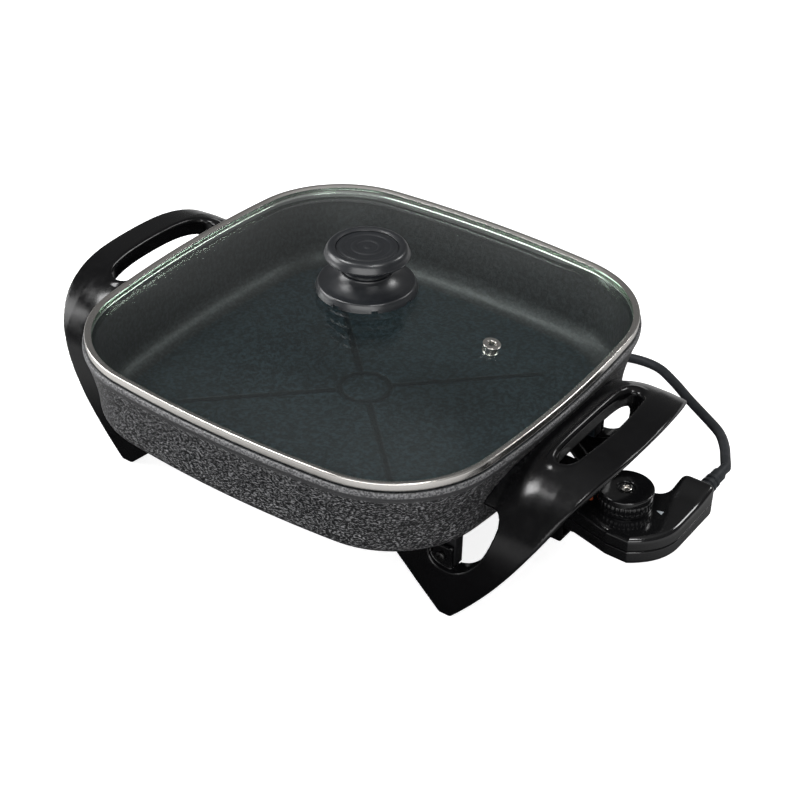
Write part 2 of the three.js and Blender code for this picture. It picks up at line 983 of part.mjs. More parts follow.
function makeHandle() {
  const across = handle.archHalf + overrun;
  const margin = clearance + handle.flange;
  const window = windowOutline();
  const slot = slotOutline();
  const slotFoot = handle.archHeight - 2 * handle.depth;
  const trim = drawnAlongY(frontOutline(), -across, across)
    .intersect(raised(planOutline(), -overrun, handle.archHeight + overrun));
  const innerTrim = drawnAlongY(grown(frontOutline(), -handle.flange), -across, across)
    .intersect(raised(grown(planOutline(), -handle.flange), handle.flange, handle.archHeight));
  const band = cut(archSolid(0), archSolid(handle.depth)).intersect(trim);
  const ribs = [-1, 1].map((side) => {
    const y = side * handle.ribPlace;
    const half = handle.ribWidth / 2;
    return block(handle.legCut, handle.reach, y - half, y + half, 0, handle.archHeight);
  });
  const cavity = cut(
    archSolid(handle.skin).intersect(innerTrim),
    drawnAlongY(grown(window, handle.flange), -across, across),
    raised(grown(slot, handle.flange), slotFoot, handle.archHeight + overrun),
    seenFromSide(panEnvelope(margin)),
    ...ribs,
  );
  const pads = [-1, 1].map((side) => {
    const outer = handle.archHalf - legScrew.padRecess;
    const [y0, y1] = side > 0 ? [padBack, outer] : [-outer, -padBack];
    const half = legScrew.padHeight / 2;
    const halfWidth = legScrew.padWidth / 2;
    return block(
      legScrew.place - halfWidth,
      legScrew.place + halfWidth,
      y0,
      y1,
      legScrew.height - half,
      legScrew.height + half,
    );
  });
  const moulding = join(
    cut(
      band,
      drawnAlongY(window, -across, across),
      raised(slot, slotFoot, handle.archHeight + overrun),
      cavity,
    ),
    ...pads,
  );
  return cut(
    outToSide(moulding),
    panEnvelope(clearance),
    lug(1, -1, clearance),
    lug(1, 1, clearance),
    ...[-1, 1].map((side) => legScrewBore(1, side, legScrew.radius + clearance)),
  );
}

const rightHandle = geometryOf(makeHandle());
piece('right_handle', rightHandle, finish.phenolic);
piece('left_handle', mirrored(rightHandle), finish.phenolic);

function makeLegScrew(sideX, sideY) {
  const x = sideX * legScrewX;
  const seat = handle.archHalf - legScrew.padRecess + clearance;
  const tip = seat - legScrew.length;
  const head = bar(
    legScrew.headRadius,
    point(x, sideY * seat, legScrew.height),
    point(x, sideY * (seat + legScrew.headHeight), legScrew.height),
  );
  const shank = bar(
    legScrew.radius,
    point(x, sideY * (seat + legScrew.headHeight / 2), legScrew.height),
    point(x, sideY * tip, legScrew.height),
  );
  return join(head, shank);
}

legPlaces.forEach(([x, y], i) => piece(`handle_screw_${i + 1}`, makeLegScrew(x, y), finish.steel));

// Lid

const glassEdge = lidSeat + lid.steel + clearance;
const glassInset = lid.steel + clearance;

// Height of the glass's upper face at a share of the way from the middle to the edge
function domeHeight(share) {
  return glassEdge + lid.glass + lid.dome * (1 - share ** lid.domePower);
}

const domeShares = [0.93, 0.83, 0.7, 0.55, 0.38, 0.2];

function makeGlass() {
  const inset = glassInset + lid.edge;
  const upper = domeShares.map((share) => ({ inset, height: domeHeight(share), share }));
  const lower = domeShares.map((share) => ({ inset, height: domeHeight(share) - lid.glass, share }));
  const dome = squareTurned([
    { inset, height: domeHeight(0) - lid.glass, share: 0 },
    ...lower.reverse(),
    { inset, height: glassEdge },
    { inset: glassInset, height: glassEdge },
    { inset: glassInset, height: glassEdge + lid.glass },
    { inset, height: glassEdge + lid.glass },
    ...upper,
    { inset, height: domeHeight(0), share: 0 },
  ]);
  const boltTop = lidTop + lid.dome + lid.glass;
  const boltBore = bar(lid.boltHole, point(0, 0, lidSeat), point(0, 0, boltTop), steps.hole);
  return cut(dome, boltBore, ventBar(lid.ventHole));
}

// The steam vent stands square to the glass
const ventReach = outline.half - lid.ventInset;
const domeReach = outline.half - glassInset - lid.edge;
const ventShare = ventReach / domeReach;
const ventSlope = (lid.domePower * lid.dome * ventShare ** (lid.domePower - 1)) / domeReach;
const ventLean = Math.atan(ventSlope);
const ventHeight = domeHeight(ventShare) - lid.glass / 2;

function ventBar(radius) {
  const axis = point(Math.sin(ventLean), 0, Math.cos(ventLean)).multiplyScalar(lid.glass);
  const middle = point(ventReach, 0, ventHeight);
  return bar(radius, middle.clone().sub(axis), middle.clone().add(axis), steps.hole);
}

function makeGrommet() {
  const { ventBore: bore, ventFlange: flange, steel } = lid;
  const neck = lid.ventHole - clearance;
  const half = lid.glass / 2 + 2 * clearance;
  const profile = [
    [bore, -half - steel],
    [flange, -half - steel],
    [flange, -half],
    [neck, -half],
    [neck, half],
    [flange, half],
    [flange - steel / 2, half + steel],
    [bore + steel, half + steel],
    [bore, half + steel / 2],
    [bore, -half - steel],
  ];
  const points = profile.map(([radius, height]) => new THREE.Vector2(radius, height));
  const geometry = new THREE.LatheGeometry(points, steps.hole).rotateX(Math.PI / 2);
  return solidOf(geometry.rotateY(ventLean).translate(ventReach, 0, ventHeight));
}

function makeLidRim() {
  const { steel, bandWidth } = lid;
  const round = steel / 2;
  return squareTurned([
    { inset: bandWidth, height: lidSeat },
    { inset: round, height: lidSeat },
    { inset: 0, height: lidSeat + round },
    { inset: 0, height: lidTop - steel },
    { inset: steel, height: lidTop },
    { inset: bandWidth, height: lidTop },
    { inset: bandWidth, height: lidTop - steel },
    { inset: steel, height: lidTop - steel },
    { inset: steel, height: lidSeat + steel },
    { inset: bandWidth, height: lidSeat + steel },
  ], true);
}

piece('lid_glass', makeGlass(), finish.glass);
piece('lid_rim', makeLidRim(), finish.steel);
piece('vent_grommet', makeGrommet(), finish.steel);

// Knob

const knobSeat = domeHeight(0) + clearance;
const gripSeat = knobSeat + knob.coneTop + clearance;
const knobTop = gripSeat + knob.gripHeight;

// How far out and up the collar's cone runs, as shares of its flare and its height
const flareShares = [[0.85, 0.07], [0.6, 0.2], [0.36, 0.38], [0.15, 0.65], [0, 1]];

function makeKnobBase() {
  const { collarRadius, collarSide, coneTop, neckRadius, notchWidth, notchHeight } = knob;
  const flare = collarRadius - neckRadius;
  const cone = coneTop - collarSide;
  const rows = flareShares.map(([across, up]) => [
    neckRadius + flare * across,
    knobSeat + collarSide + cone * up,
  ]);
  const body = turned([
    [0, knobSeat],
    [collarRadius - knob.edge, knobSeat],
    [collarRadius, knobSeat + knob.edge],
    [collarRadius, knobSeat + collarSide - knob.edge],
    [collarRadius - knob.edge, knobSeat + collarSide],
    ...rows,
    [0, knobSeat + coneTop],
  ], steps.knob);
  const notches = [];
  for (let i = 0; i < knob.notches; i += 1) {
    const notch = block(
      collarRadius - notchWidth,
      collarRadius + overrun,
      -notchWidth / 2,
      notchWidth / 2,
      knobSeat - overrun,
      knobSeat + notchHeight,
    );
    notches.push(notch.rotate([0, 0, (360 * i) / knob.notches]));
  }
  return cut(body, ...notches, screwBar(knob.screwRadius + clearance));
}

const screwTip = gripSeat + knob.gripHeight - knob.capHeight - knob.screwHeadHeight;
const sealTop = domeHeight(0) - lid.glass - clearance;
const washerTop = sealTop - knob.sealHeight - clearance;
const screwSeat = washerTop - knob.washerHeight - clearance;

function screwBar(radius, tip = screwTip + clearance) {
  return bar(radius, point(0, 0, screwSeat - knob.screwHeadHeight / 2), point(0, 0, tip), steps.small);
}

// How far out and up the grip's side runs, as shares of its flare and its height
const gripShares = [
  [-0.12, 0],
  [-0.12, 0.14],
  [0.1, 0.3],
  [0.55, 0.46],
  [0.9, 0.6],
  [1, 0.74],
  [0.97, 0.86],
  [0.82, 0.96],
  [0.62, 1],
];

function makeKnobGrip() {
  const { gripRadius, gripHeight, gripDish, capRadius, capHeight, neckRadius } = knob;
  const belly = gripShares.map(([across, up]) => [
    neckRadius + (gripRadius - neckRadius) * across,
    gripSeat + gripHeight * up,
  ]);
  const body = turned([
    [0, gripSeat],
    ...belly,
    [capRadius + gripDish, knobTop - gripDish],
    [capRadius + clearance, knobTop - gripDish],
    [capRadius + clearance, knobTop - gripDish - capHeight],
    [0, knobTop - gripDish - capHeight],
  ], steps.knob);
  return cut(body, screwBar(knob.screwRadius + clearance));
}

function makeKnobCap() {
  const { capRadius, capHeight, capRings, ringDepth } = knob;
  const seat = knobTop - knob.gripDish - capHeight + clearance;
  const top = seat + capHeight - ringDepth;
  const profile = [[0, seat], [capRadius, seat], [capRadius, top]];
  const pitch = capRadius / (capRings + 0.5);
  for (let ring = capRings; ring > 0; ring -= 1) {
    const middle = ring * pitch;
    profile.push([middle + pitch / 4, top], [middle, top + ringDepth], [middle - pitch / 4, top]);
  }
  profile.push([0, top]);
  return turned(profile, steps.knob);
}

function disc(bore, radius, bottom, top) {
  return turned([[bore, bottom], [radius, bottom], [radius, top], [bore, top], [bore, bottom]], steps.hole);
}

function makeKnobScrew() {
  const head = bar(
    knob.screwHeadRadius,
    point(0, 0, screwSeat - knob.screwHeadHeight),
    point(0, 0, screwSeat),
    steps.hole,
  );
  return join(head, screwBar(knob.screwRadius, screwTip));
}

const knobBore = knob.screwRadius + clearance;
const seal = disc(knobBore, knob.sealRadius, sealTop - knob.sealHeight, sealTop);
const washer = disc(knobBore, knob.washerRadius, washerTop - knob.washerHeight, washerTop);

piece('knob_base', makeKnobBase(), finish.phenolic);
piece('knob_grip', makeKnobGrip(), finish.phenolic);
piece('knob_cap', makeKnobCap(), finish.phenolic);
piece('knob_seal', seal, finish.rubber);
piece('knob_washer', washer, finish.steel);
piece('knob_screw', makeKnobScrew(), finish.steel);

// Heat control

const frontEnd = probe.reach - probe.frontBend;
const frontStart = frontEnd - probe.frontRun;
const tailInner = probe.reach - probe.tailWidth;
const tailMiddle = probe.reach - probe.tailWidth / 2;

// The housing seen from above: an arm towards the pan, a bend at the front and a tail to the rear
function housingOutline() {
  const shape = new THREE.Shape();
  shape.moveTo(probe.armStart, -probe.armHalf);
  shape.lineTo(frontStart, -probe.front);
  shape.lineTo(frontEnd, -probe.front);
  shape.quadraticCurveTo(probe.reach, probe.bendPlace, probe.reach, probe.bendEnd);
  shape.lineTo(probe.reach, probe.tail - probe.tailRound);
  shape.quadraticCurveTo(probe.reach, probe.tail, probe.reach - probe.tailRound, probe.tail);
  shape.lineTo(tailInner + probe.tailRound, probe.tail);
  shape.quadraticCurveTo(tailInner, probe.tail, tailInner, probe.tail - probe.tailRound);
  shape.lineTo(tailInner, probe.armHalf + probe.notch);
  shape.quadraticCurveTo(tailInner, probe.armHalf, tailInner - probe.notch, probe.armHalf);
  shape.lineTo(probe.armStart, probe.armHalf);
  shape.closePath();
  return shape;
}

function roundedRectangle(x0, x1, y0, y1, radius) {
  const shape = new THREE.Shape();
  shape.moveTo(x0 + radius, y0);
  shape.lineTo(x1 - radius, y0);
  shape.quadraticCurveTo(x1, y0, x1, y0 + radius);
  shape.lineTo(x1, y1 - radius);
  shape.quadraticCurveTo(x1, y1, x1 - radius, y1);
  shape.lineTo(x0 + radius, y1);
  shape.quadraticCurveTo(x0, y1, x0, y1 - radius);
  shape.lineTo(x0, y0 + radius);
  shape.quadraticCurveTo(x0, y0, x0 + radius, y0);
  return shape;
}

const thermostatStart = probe.armStart + probe.wall + clearance;
const frameBottom = probe.bottom + probe.wall + clearance;
const bossPlaces = [
  [dial.x - probe.bossRadius, probe.armHalf - probe.bossInset],
  [frontStart + probe.bossRadius, probe.bossInset - probe.front],
  [tailMiddle, probe.tail - probe.bossTailInset],
];

function makeHousing() {
  const { noseHalf, noseBottom, noseTop, noseRound } = probe;
  const noseOutline = roundedRectangle(-noseHalf, noseHalf, noseBottom, noseTop, noseRound);
  const nose = drawnAlongX(noseOutline, probe.noseStart, thermostatStart);
  const shape = housingOutline();
  const outside = join(stacked(shape, roundedLayers(probe.bottom, probe.top, probe.round)), nose);
  const hollow = cut(
    stacked(shape, [
      { inset: probe.wall, height: probe.bottom + probe.wall },
      { inset: probe.wall, height: probe.top - probe.wall },
    ]),
    ...bossPlaces.map(([x, y]) => {
      const [low, high] = [point(x, y, probe.bottom), point(x, y, probe.top)];
      return bar(probe.bossRadius, low, high, steps.hole);
    }),
  );
  const inlets = [-1, 1].flatMap((side) => [
    bar(
      probe.sleeveRadius + clearance,
      point(probe.noseStart - overrun, side * element.gate, socket.height),
      point(probe.noseStart + probe.sleeveLength + clearance, side * element.gate, socket.height),
      steps.hole,
    ),
    bar(
      probe.tailPinRadius + clearance,
      point(probe.noseStart, side * element.gate, socket.height),
      point(thermostatStart + overrun, side * element.gate, socket.height),
    ),
  ]);
  const rodHole = bar(
    rod.radius + clearance,
    point(probe.noseStart - overrun, 0, socket.height),
    point(thermostatStart + overrun, 0, socket.height),
    steps.hole,
  );
  const shaftHole = bar(
    dial.shaftRadius + clearance,
    point(dial.x, 0, probe.top - probe.wall - overrun),
    point(dial.x, 0, probe.top + overrun),
    steps.hole,
  );
  const lampHole = bar(
    lamp.radius + clearance,
    point(lamp.x, lamp.y, probe.top - probe.wall - overrun),
    point(lamp.x, lamp.y, probe.top + overrun),
    steps.hole,
  );
  const reliefHole = bar(
    relief.startRadius + clearance,
    point(tailMiddle, probe.tail - probe.wall - overrun, relief.height),
    point(tailMiddle, probe.tail + overrun, relief.height),
    steps.hole,
  );
  const screwHoles = bossPlaces.flatMap(([x, y]) => {
    const below = point(x, y, probe.bottom - overrun);
    const headSeat = point(x, y, probe.bottom + probe.screwHeadHeight + clearance);
    return [
      bar(probe.screwRadius + clearance, below, point(x, y, screwTop + clearance)),
      bar(probe.screwHeadRadius + clearance, below, headSeat, steps.hole),
    ];
  });
  return cut(outside, hollow, ...inlets, rodHole, shaftHole, lampHole, reliefHole, ...screwHoles);
}

const screwTop = probe.top - 2 * probe.wall;
const housing = makeHousing();

function halfSpace(from, to) {
  const margin = probe.reach + probe.tail;
  return block(-margin, margin, -margin, margin, from, to);
}

controlPiece(
  'probe_upper_shell',
  housing.intersect(halfSpace(probe.split + clearance / 2, probe.top + overrun)),
  finish.housing,
);
controlPiece(
  'probe_lower_shell',
  housing.intersect(halfSpace(probe.noseBottom - overrun, probe.split - clearance / 2)),
  finish.housing,
);

bossPlaces.forEach(([x, y], i) => {
  const headTop = probe.bottom + probe.screwHeadHeight;
  const head = bar(probe.screwHeadRadius, point(x, y, probe.bottom), point(x, y, headTop));
  const shank = bar(
    probe.screwRadius,
    point(x, y, probe.bottom + probe.screwHeadHeight / 2),
    point(x, y, screwTop),
  );
  controlPiece(`shell_screw_${i + 1}`, join(head, shank), finish.steel);
});

function makeRod() {
  const { radius, tip } = rod;
  const end = thermostatStart + thermostat.length / 3;
  const nose = new THREE.SphereGeometry(radius, steps.small, steps.small / 2).rotateZ(Math.PI / 2);
  const round = solidOf(nose.translate(tip + radius, 0, socket.height));
  return join(bar(radius, point(tip + radius, 0, socket.height), point(end, 0, socket.height)), round);
}

function makeSleeve(side) {
  const y = side * element.gate;
  const start = probe.noseStart + clearance;
  const end = probe.noseStart + probe.sleeveLength;
  const [mouth, root] = [point(start, y, socket.height), point(end, y, socket.height)];
  const sleeve = bar(probe.sleeveRadius, mouth, root, steps.hole);
  const bore = bar(
    probe.sleeveBore,
    point(start - overrun, y, socket.height),
    point(end - probe.wall, y, socket.height),
    steps.hole,
  );
  const tail = bar(
    probe.tailPinRadius,
    point(end - probe.wall / 2, y, socket.height),
    point(thermostatStart + thermostat.length / 3, y, socket.height),
  );
  return join(cut(sleeve, bore), tail);
}

function makeThermostatFrame() {
  const frame = block(
    thermostatStart,
    thermostatStart + thermostat.length,
    -thermostat.half,
    thermostat.half,
    frameBottom,
    frameBottom + thermostat.thickness,
  );
  const end = thermostatStart + thermostat.length / 3 + clearance;
  const seats = [
    [0, rod.radius],
    [element.gate, probe.tailPinRadius],
    [-element.gate, probe.tailPinRadius],
  ].map(([y, radius]) => bar(
    radius + clearance,
    point(thermostatStart - overrun, y, socket.height),
    point(end, y, socket.height),
    steps.hole,
  ));
  return cut(frame, ...seats);
}

function makeBlade(side) {
  const middle = side * (thermostat.bladeWidth + thermostat.bladeGap) / 2;
  const start = thermostatStart + thermostat.length - thermostat.bladeSeat;
  const bottom = frameBottom + thermostat.thickness + clearance;
  return block(
    start,
    start + thermostat.bladeLength,
    middle - thermostat.bladeWidth / 2,
    middle + thermostat.bladeWidth / 2,
    bottom,
    bottom + thermostat.bladeThickness,
  );
}

controlPiece('probe_rod', makeRod(), finish.steel);
controlPiece('contact_sleeve_front', makeSleeve(-1), finish.brass);
controlPiece('contact_sleeve_rear', makeSleeve(1), finish.brass);
controlPiece('thermostat_frame', makeThermostatFrame(), finish.ceramic);
controlPiece('bimetal_blade', makeBlade(-1), finish.steel);
controlPiece('contact_blade', makeBlade(1), finish.brass);

function makeLens() {
  const ceiling = probe.top - probe.wall - clearance;
  return turned([
    [0, ceiling - lamp.lip],
    [lamp.radius + lamp.lip, ceiling - lamp.lip],
    [lamp.radius + lamp.lip, ceiling],
    [lamp.radius, ceiling],
    [lamp.radius, probe.top],
    [lamp.radius / 2, probe.top + lamp.proud],
    [0, probe.top + lamp.proud],
  ], steps.hole).translate([lamp.x, lamp.y, 0]);
}

controlPiece('lamp_lens', makeLens(), finish.lens);

// Dial

const dialSeat = probe.top + clearance;
const dialTop = dialSeat + dial.height;
const shaftTop = dialTop - dial.recessDepth - dial.web;
const camBottom = frameBottom + thermostat.thickness + thermostat.bladeThickness + 2 * clearance;

function makeDial() {
  const { radius, knurlDepth, skirt, band, chamfer } = dial;
  const waist = radius - knurlDepth;
  const rim = turned([
    [0, dialSeat],
    [radius, dialSeat],
    [radius, dialSeat + skirt],
    [waist - knurlDepth, dialSeat + skirt],
    [waist - knurlDepth, dialSeat + skirt + band],
    [radius, dialSeat + skirt + band],
    [radius, dialTop - chamfer],
    [radius - chamfer, dialTop],
    [dial.recessRadius, dialTop],
    [dial.recessRadius, dialTop - dial.recessDepth],
    [0, dialTop - dial.recessDepth],
  ], steps.knob);
  const teeth = [];
  for (let i = 0; i < 2 * dial.knurls; i += 1) {
    const angle = (Math.PI * i) / dial.knurls;
    const reach = i % 2 ? waist : waist - knurlDepth / 2;
    teeth.push([reach * Math.cos(angle), reach * Math.sin(angle)]);
  }
  const knurl = raised(shapeOf(teeth), dialSeat + skirt / 2, dialSeat + skirt + band + skirt / 2);
  const seat = bar(
    dial.shaftRadius + clearance,
    point(0, 0, dialSeat - overrun),
    point(0, 0, shaftTop + clearance),
    steps.hole,
  );
  const hole = bar(dial.screwRadius + clearance, point(0, 0, dialSeat), point(0, 0, dialTop));
  return cut(join(rim, knurl), seat, hole).translate([dial.x, 0, 0]);
}

function makeShaft() {
  const cam = [];
  for (let i = 0; i < steps.knob / 2; i += 1) {
    const angle = (4 * Math.PI * i) / steps.knob;
    const reach = dial.camRadius + (dial.camLift * (1 - Math.cos(angle))) / 2;
    cam.push([reach * Math.cos(angle), reach * Math.sin(angle)]);
  }
  const stem = bar(dial.shaftRadius, point(0, 0, camBottom), point(0, 0, shaftTop), steps.hole);
  const bore = bar(
    dial.screwRadius + clearance,
    point(0, 0, dialTop - dial.recessDepth - dial.screwLength - clearance),
    point(0, 0, dialTop),
  );
  const camDisc = raised(shapeOf(cam), camBottom, camBottom + dial.camHeight);
  return cut(join(camDisc, stem), bore).translate([dial.x, 0, 0]);
}

function makeDialScrew() {
  const seat = dialTop - dial.recessDepth + clearance;
  const head = turned([
    [0, seat],
    [dial.screwHeadRadius, seat],
    [dial.screwHeadRadius, seat + dial.screwHeadHeight / 2],
    [dial.screwHeadRadius / 2, seat + dial.screwHeadHeight],
    [0, seat + dial.screwHeadHeight],
  ], steps.hole);
  const shank = bar(
    dial.screwRadius,
    point(0, 0, seat + dial.screwHeadHeight / 2),
    point(0, 0, seat - dial.screwLength),
  );
  return join(head, shank).translate([dial.x, 0, 0]);
}

controlPiece('dial', makeDial(), finish.housing);
controlPiece('dial_shaft', makeShaft(), finish.steel);
controlPiece('dial_screw', makeDialScrew(), finish.steel);

// Strain relief and lead

function makeRelief() {
  const inner = probe.tail - probe.wall - clearance;
  const slope = (relief.startRadius - relief.endRadius) / relief.length;
  const profile = [
    [0, inner - relief.collarWidth],
    [relief.collarRadius, inner - relief.collarWidth],
    [relief.collarRadius, inner],
    [relief.startRadius, inner],
  ];
  const pitch = relief.ribWidth + relief.ribGap;
  for (let rib = 0; rib < relief.ribs; rib += 1) {
    const start = probe.tail + clearance + relief.ribGap / 2 + rib * pitch;
    const reach = relief.startRadius - slope * (start - probe.tail);
    profile.push(
      [reach - relief.ribDepth, start],
      [reach, start],
      [reach, start + relief.ribWidth],
      [reach - relief.ribDepth, start + relief.ribWidth],
    );
  }
  profile.push([relief.endRadius, probe.tail + relief.length], [0, probe.tail + relief.length]);
  const points = profile.map(([radius, along]) => new THREE.Vector2(radius, along));
  return solidOf(new THREE.LatheGeometry(points, steps.hole).translate(tailMiddle, 0, relief.height));
}

controlPiece('strain_relief', makeRelief(), finish.rubber);

const coilHeight = lead.rise + lead.radius;
const coilStart = point(lead.coilX + 2 * lead.radius, lead.coilY - lead.coilRadius, coilHeight);

function makeLead() {
  const exit = probe.tail + relief.length + clearance;
  const reliefX = outline.half + tailMiddle;
  const path = [
    point(reliefX, exit, relief.height),
    point(reliefX, exit + 2 * lead.radius, relief.height),
    ...freeRoute.map(([x, y, z]) => point(x, y, z)),
    coilStart.clone().add(point(2 * lead.radius, 0, 0)),
    coilStart.clone().add(point(clearance, 0, 0)),
  ];
  return { path, solid: solidOf(tube(path, lead.radius, steps.tube, steps.leadRings)) };
}

// The coil's middle line: it spirals in, climbs a layer while it turns back, and spirals out again
function coilPath() {
  const points = [coilStart.clone(), coilStart.clone().setX(lead.coilX + lead.radius)];
  const count = lead.turns * lead.loopSteps;
  for (let i = 0; i <= count; i += 1) {
    const turn = i / lead.loopSteps;
    const angle = -Math.PI / 2 - 2 * Math.PI * turn;
    const radius = lead.coilRadius - lead.turnPitch * Math.min(turn, lead.turns - turn);
    const climb = Math.min(Math.max(2 * (turn - lead.turns / 2) + 1 / 2, 0), 1);
    const height = coilHeight + (lead.layerPitch * (1 - Math.cos(Math.PI * climb))) / 2;
    points.push(point(lead.coilX + radius * Math.cos(angle), lead.coilY + radius * Math.sin(angle), height));
  }
  const last = points.at(-1);
  const fall = last.z - plugHeight;
  for (const [along, down] of tailShares) {
    points.push(point(last.x - lead.tailRun * along, last.y, last.z - fall * down));
  }
  return points;
}

const tailShares = [[0.2, 0], [0.4, 0.2], [0.6, 0.65], [0.8, 0.97], [1, 1]];
const plugHeight = plug.height / 2 + clearance;

// Rings of a tube round a middle line, each square to the line
function ringsAlong(points, radius, sides) {
  return points.map((here, i) => {
    const before = points[Math.max(i - 1, 0)];
    const after = points[Math.min(i + 1, points.length - 1)];
    const along = new THREE.Vector3().subVectors(after, before).normalize();
    const across = new THREE.Vector3().crossVectors(along, point(0, 0, 1)).normalize();
    const up = new THREE.Vector3().crossVectors(across, along);
    const ring = [];
    for (let k = 0; k < sides; k += 1) {
      const angle = (2 * Math.PI * k) / sides;
      ring.push(here.clone()
        .addScaledVector(across, radius * Math.cos(angle))
        .addScaledVector(up, radius * Math.sin(angle)));
    }
    return ring;
  });
}

function leastGap(points, radius) {
  const runs = [0];
  for (let i = 1; i < points.length; i += 1) runs.push(runs[i - 1] + points[i].distanceTo(points[i - 1]));
  let least = Infinity;
  points.forEach((a, i) => points.forEach((b, j) => {
    if (runs[j] - runs[i] > 4 * Math.PI * radius) least = Math.min(least, a.distanceTo(b) - 2 * radius);
  }));
  return least;
}

function lengthOf(points) {
  return points.slice(1).reduce((sum, here, i) => sum + here.distanceTo(points[i]), 0);
}

const freeLead = makeLead();
const coil = coilPath();
const freeLength = new THREE.CatmullRomCurve3(freeLead.path, false, 'centripetal').getLength();
console.log('lead: free', freeLength.toFixed(0), 'coil', lengthOf(coil).toFixed(0), 'mm');
console.log('least gap in the coil', leastGap(coil, lead.radius).toFixed(2), 'mm');

piece('cord', freeLead.solid, finish.rubber);
piece('cord_coil', solidOf(skin(ringsAlong(coil, lead.radius, lead.loopSides), false)), finish.rubber);

function makeTie() {
  const inner = lead.coilRadius - (lead.turns / 2) * lead.turnPitch;
  const outer = lead.coilRadius - lead.turnPitch / 2;
  const y0 = lead.coilY + inner - lead.radius - tie.gap;
  const y1 = lead.coilY + outer + lead.radius + tie.gap;
  const z0 = tie.thickness;
  const z1 = coilHeight + lead.layerPitch + lead.radius + clearance;
  const { thickness } = tie;
  const x0 = lead.coilX - tie.width / 2;
  const x1 = lead.coilX + tie.width / 2;
  const outside = roundedRectangle(
    y0 - thickness,
    y1 + thickness,
    z0 - thickness,
    z1 + thickness,
    2 * thickness,
  );
  return cut(
    drawnAlongX(outside, x0, x1),
    drawnAlongX(roundedRectangle(y0, y1, z0, z1, thickness), x0 - overrun, x1 + overrun),
  );
}

piece('cord_tie', makeTie(), finish.rubber);

// Plug

const plugEnd = lead.coilX - lead.tailRun - clearance;
const plugY = lead.coilY - lead.coilRadius;

function makePlugBody() {
  const front = plugEnd - plug.tailLength - plug.length;
  const back = plugEnd - plug.tailLength;
  const half = plug.width / 2;
  const outlineShape = new THREE.Shape();
  outlineShape.moveTo(front, plugY - half);
  outlineShape.lineTo(front, plugY + half);
  outlineShape.bezierCurveTo(
    (front + back) / 2,
    plugY + half,
    (front + back) / 2,
    plugY + plug.tailRadius,
    back,
    plugY + plug.tailRadius,
  );
  outlineShape.lineTo(back, plugY - plug.tailRadius);
  outlineShape.bezierCurveTo(
    (front + back) / 2,
    plugY - plug.tailRadius,
    (front + back) / 2,
    plugY - half,
    front,
    plugY - half,
  );
  const body = stacked(outlineShape, roundedLayers(clearance, clearance + plug.height, plug.round));
  const tail = bar(
    plug.tailRadius,
    point(plugEnd, plugY, plugHeight),
    point(back - plug.round, plugY, plugHeight),
  );
  return cut(join(body, tail), ...[-1, 1].map((side) => plugPin(side, clearance)));
}

function plugPin(side, margin) {
  const y = plugY + (side * plug.pinSpacing) / 2;
  const front = plugEnd - plug.tailLength - plug.length;
  return bar(
    plug.pinRadius + margin,
    point(front + plug.pinSeat + margin, y, plugHeight),
    point(front - plug.pinLength, y, plugHeight),
  );
}

piece('plug_body', makePlugBody(), finish.rubber);
piece('plug_pin_front', plugPin(-1, 0), finish.steel);
piece('plug_pin_rear', plugPin(1, 0), finish.steel);

// The origin is under the middle of the object, between the left handle and the heat control
skillet.position.x = (handle.reach - probe.reach) / 2;

export default skillet;
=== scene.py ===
# %% [markdown]
# # Electric skillet
#
# A square cast pan stands on two arched phenolic handles that are also its legs. A domed glass lid in a
# steel band covers it, and a plug-in heat control with its lead sits under the right handle. The packed
# model gives every place. This script dresses it: finer surfaces, edges, textures, light and camera.
#
# Shapes are written in millimetres about the middle of the pan, because the pan is what everything else
# is fitted to. They become metres in the shared frame where a mesh is made.

# %%
import json
import math

import bpy
import numpy as np
from mathutils import Matrix, Vector


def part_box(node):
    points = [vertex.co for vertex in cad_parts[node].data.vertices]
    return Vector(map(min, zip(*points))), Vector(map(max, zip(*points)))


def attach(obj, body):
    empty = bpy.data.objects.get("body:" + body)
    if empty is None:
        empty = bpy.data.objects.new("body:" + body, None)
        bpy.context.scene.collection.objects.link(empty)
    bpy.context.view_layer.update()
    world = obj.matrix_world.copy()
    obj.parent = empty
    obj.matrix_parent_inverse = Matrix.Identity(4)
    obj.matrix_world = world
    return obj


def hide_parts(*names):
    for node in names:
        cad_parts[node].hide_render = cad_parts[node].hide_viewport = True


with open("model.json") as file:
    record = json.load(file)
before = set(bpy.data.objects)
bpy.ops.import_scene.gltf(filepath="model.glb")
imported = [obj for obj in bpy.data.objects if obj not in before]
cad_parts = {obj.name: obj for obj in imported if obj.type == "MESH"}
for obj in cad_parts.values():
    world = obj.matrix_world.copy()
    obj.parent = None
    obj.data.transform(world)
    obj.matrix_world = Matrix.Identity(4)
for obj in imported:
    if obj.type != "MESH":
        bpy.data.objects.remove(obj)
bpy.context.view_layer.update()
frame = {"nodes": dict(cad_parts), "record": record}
nodes = frame["nodes"]

MM = 0.001
rim_low, rim_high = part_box("lid_rim")
pan_middle = (rim_low.x + rim_high.x) / 2 / MM
print("nodes", len(nodes), "pan's middle at x", round(pan_middle, 2), "mm")


def to_frame(points):
    """Millimetres about the pan's middle to metres in the shared frame."""
    return (np.asarray(points, float) + (pan_middle, 0, 0)) * MM

# %% [markdown]
# ## Camera
#
# A product shot like this is taken from above one corner with a fairly long lens, so that the square pan
# keeps its shape. The camera's direction, height and slight roll were fitted to the photograph's edges.

# %%
camera_turn, camera_tilt, camera_roll = (math.radians(angle) for angle in (34.372, 34.789, 1.722))
camera_place = (593.2, -825.4, 760.4)
camera_lens = 82.89
sensor = 36

